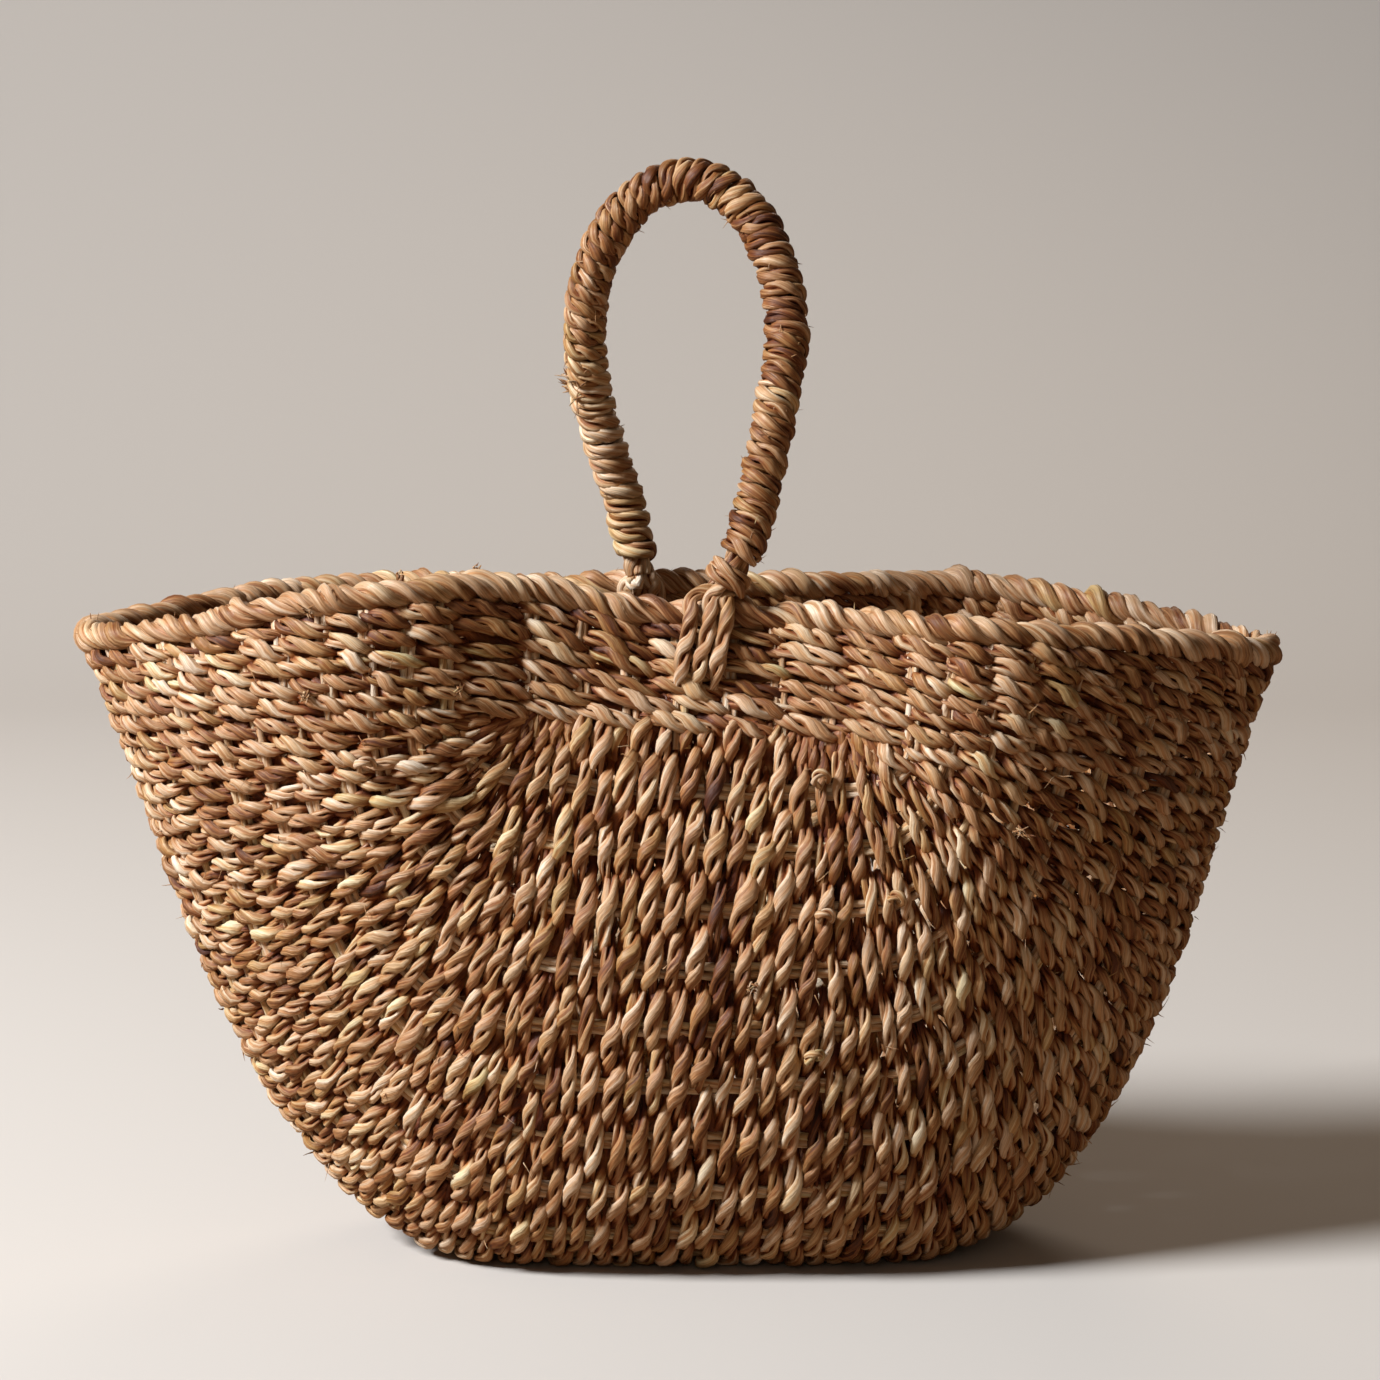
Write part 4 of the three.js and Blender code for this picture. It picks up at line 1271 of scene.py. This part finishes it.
def on_wall(p, q, off=0.0):
    """A point so far off the wall, and the direction out of it."""
    p, q = np.array([p]), np.array([q])
    out = way_out(p, q)
    return (wall(p, q) + off * out)[0], out[0]


print("rings of a fibre:", FIBRE_RINGS)

# %% Tufts and curls on the wall
# Places are p and q of the flat oval, and a curl has a radius too.
ON_TOP = 5.5  # from the middle of the wall to the top of a stitch
TUFTS = [(-0.622, -0.813), (-0.302, -0.887), (0.073, -0.552), (-0.633, -0.908), (0.52, -0.70)]
CURLS = [(-0.489, -0.778, 3.0), (0.164, -0.635, 2.6), (0.144, -0.468, 3.0), (0.168, -0.80, 2.8),
         (0.26, -0.66, 2.6), (0.30, 0.62, 2.8), (-0.42, 0.55, 3.0)]
loose = []
for p, q in TUFTS:
    loose += tuft(*on_wall(p, q, ON_TOP), count=9, length=6.0)
for p, q, radius in CURLS:
    start, out = on_wall(p, q, ON_TOP)
    loose += curl(start, out, unit(np.cross(out, [rng.normal(0, 0.4), 0, 1.0])), radius)
print("tufts and curls:", len(TUFTS), "and", len(CURLS))

# %% Stubs of ribs behind the rim, and tufts at its tips
STUBS = [(-108, -1), (-80, -1)]  # along the basket, and front or back
UPWARDS = np.array([0, 0, 1.0])
# A stub's points, from below the middle of the rim rope to above it.
STUB = np.array([[0, 0, -6], [0, 0, 0], [0.2, 0, 4], [0.4, 0, 7]])
for x, sign in STUBS:
    # The nearest point of the rim, at the front or at the back.
    k = np.argmin(np.abs(rim_line[:, 0] - x) + 1e3 * (np.sign(rim_line[:, 1]) != sign))
    inwards = np.array([0, -sign * 4.2, 0])
    points = rim_line[k] + inwards + STUB
    stub, _ = even(points, 1.0)
    out = np.tile([0, -1.0, 0], (len(stub), 1))
    loose += cord(stub, out, thick=2.9, broad=3.2, lay=12.0, tint=0.42)
    loose += tuft(points[-1], UPWARDS, count=3, length=2.0)
for end in (rim_line[:, 0].argmin(), rim_line[:, 0].argmax()):
    loose += tuft(rim_line[end] + (0, 0, 3), UPWARDS, count=8, length=6.0)
print("stubs:", len(STUBS))

# %% Short fibres over the wall and the rim
WALL_FIBRES, RIM_FIBRES = 260, 50
CLEAR_OF_FLOOR = 12  # fibres start higher than this
for _ in range(WALL_FIBRES):
    up = math.sqrt(rng.uniform(0.02, 1))
    arc = rng.uniform(0, 2 * np.pi)
    p = up * math.cos(arc) + math.copysign(PANEL_SHARE, math.cos(arc)) * rng.uniform(0, 1)
    start, out = on_wall(p, up * math.sin(arc), ON_TOP)
    if start[2] > CLEAR_OF_FLOOR:
        loose.append(fibre_end(start, any_way(out, 1.3), rng.uniform(2.5, 7), rng.uniform(0.16, 0.34)))
for k in rng.integers(0, len(rim_line), RIM_FIBRES):
    way = any_way(UPWARDS, 1.5)
    loose.append(fibre_end(rim_line[k] + way * 5, way, rng.uniform(2.5, 6), rng.uniform(0.16, 0.3)))
piece("loose_ends", loose, weft_finish, "basket")

# %% Fibres on the handle, and its splice
HANDLE_FIBRES, SPLICE_FIBRES = 70, 26
SPLICE_AT, SPLICE_HALF = 0.222, 0.012  # shares of the wrapping, from the back foot
fuzz = []
for k in rng.integers(0, len(wrap_line), HANDLE_FIBRES):
    fuzz.append(fibre_end(wrap_line[k] + 1.8 * wrap_out[k], any_way(wrap_out[k], 1.2),
                          rng.uniform(2.0, 5), rng.uniform(0.15, 0.28)))
# The splice on the left leg, where one length of cord ends and the next begins.
on_splice = np.abs(part_way - SPLICE_AT) < SPLICE_HALF
for k in rng.choice(np.flatnonzero(on_splice & (wrap_out[:, 0] < -0.1)), SPLICE_FIBRES):
    around = any_way(unit(wrap_out[k] + (-0.6, -0.2, 0)), 1.1)
    fuzz.append(fibre_end(wrap_line[k] + 1.9 * wrap_out[k], around, rng.uniform(2.5, 6),
                          rng.uniform(0.35, 0.7), sag=0.6))
piece("handle_loose_ends", fuzz, wrap_finish, "handle")

# %% [markdown]
# ## Tucked ends
# Under the band, where the rows of the two ends begin, their cords are tucked in side by side.
# Short ends stand there close together and fill what the rows leave open. From the corner
# outwards they lean more and more, as the rows do. They lie deep, and painted shade darkens them.

# %% Tucked ends where the rows begin
TUCKED = 9  # ends at each of the four corners
UPRIGHT, LEVEL = 102, 10  # degrees of the first and the last one
TUCKED_UNDER, TUCKED_LONG = 3, 17  # how far an end reaches under the band, and out of it
PAST_PANEL = 6  # how far past the CAD model's panel the last one stands
TUCKED_SHADE = 0.6
corner_ends = []
for right in (-1, 1):
    for back in (-1, 1):
        for share in np.linspace(0, 1, TUCKED):
            lean = math.radians(UPRIGHT + (LEVEL - UPRIGHT) * share)
            reach = np.linspace(-TUCKED_UNDER, TUCKED_LONG, 10) / SIDE_LENGTH
            foot = CORNERS[right] + (PANEL_HALF + PAST_PANEL - CORNERS[right]) * share
            p = right * (foot / SIDE_LENGTH + reach * math.cos(lean))
            q = back * (BAND_FOOT - reach * math.sin(lean))
            corner_ends += cord(wall(p, q), way_out(p, q), thick=5.0, broad=6.5, lay=LAY, tint=0.5)
# Painted shade: the tucked ends are darkened, as they lie deep.
for part in corner_ends:
    part["shade"] = part["shade"] * TUCKED_SHADE
piece("tucked_ends", corner_ends, weft_finish, "basket")
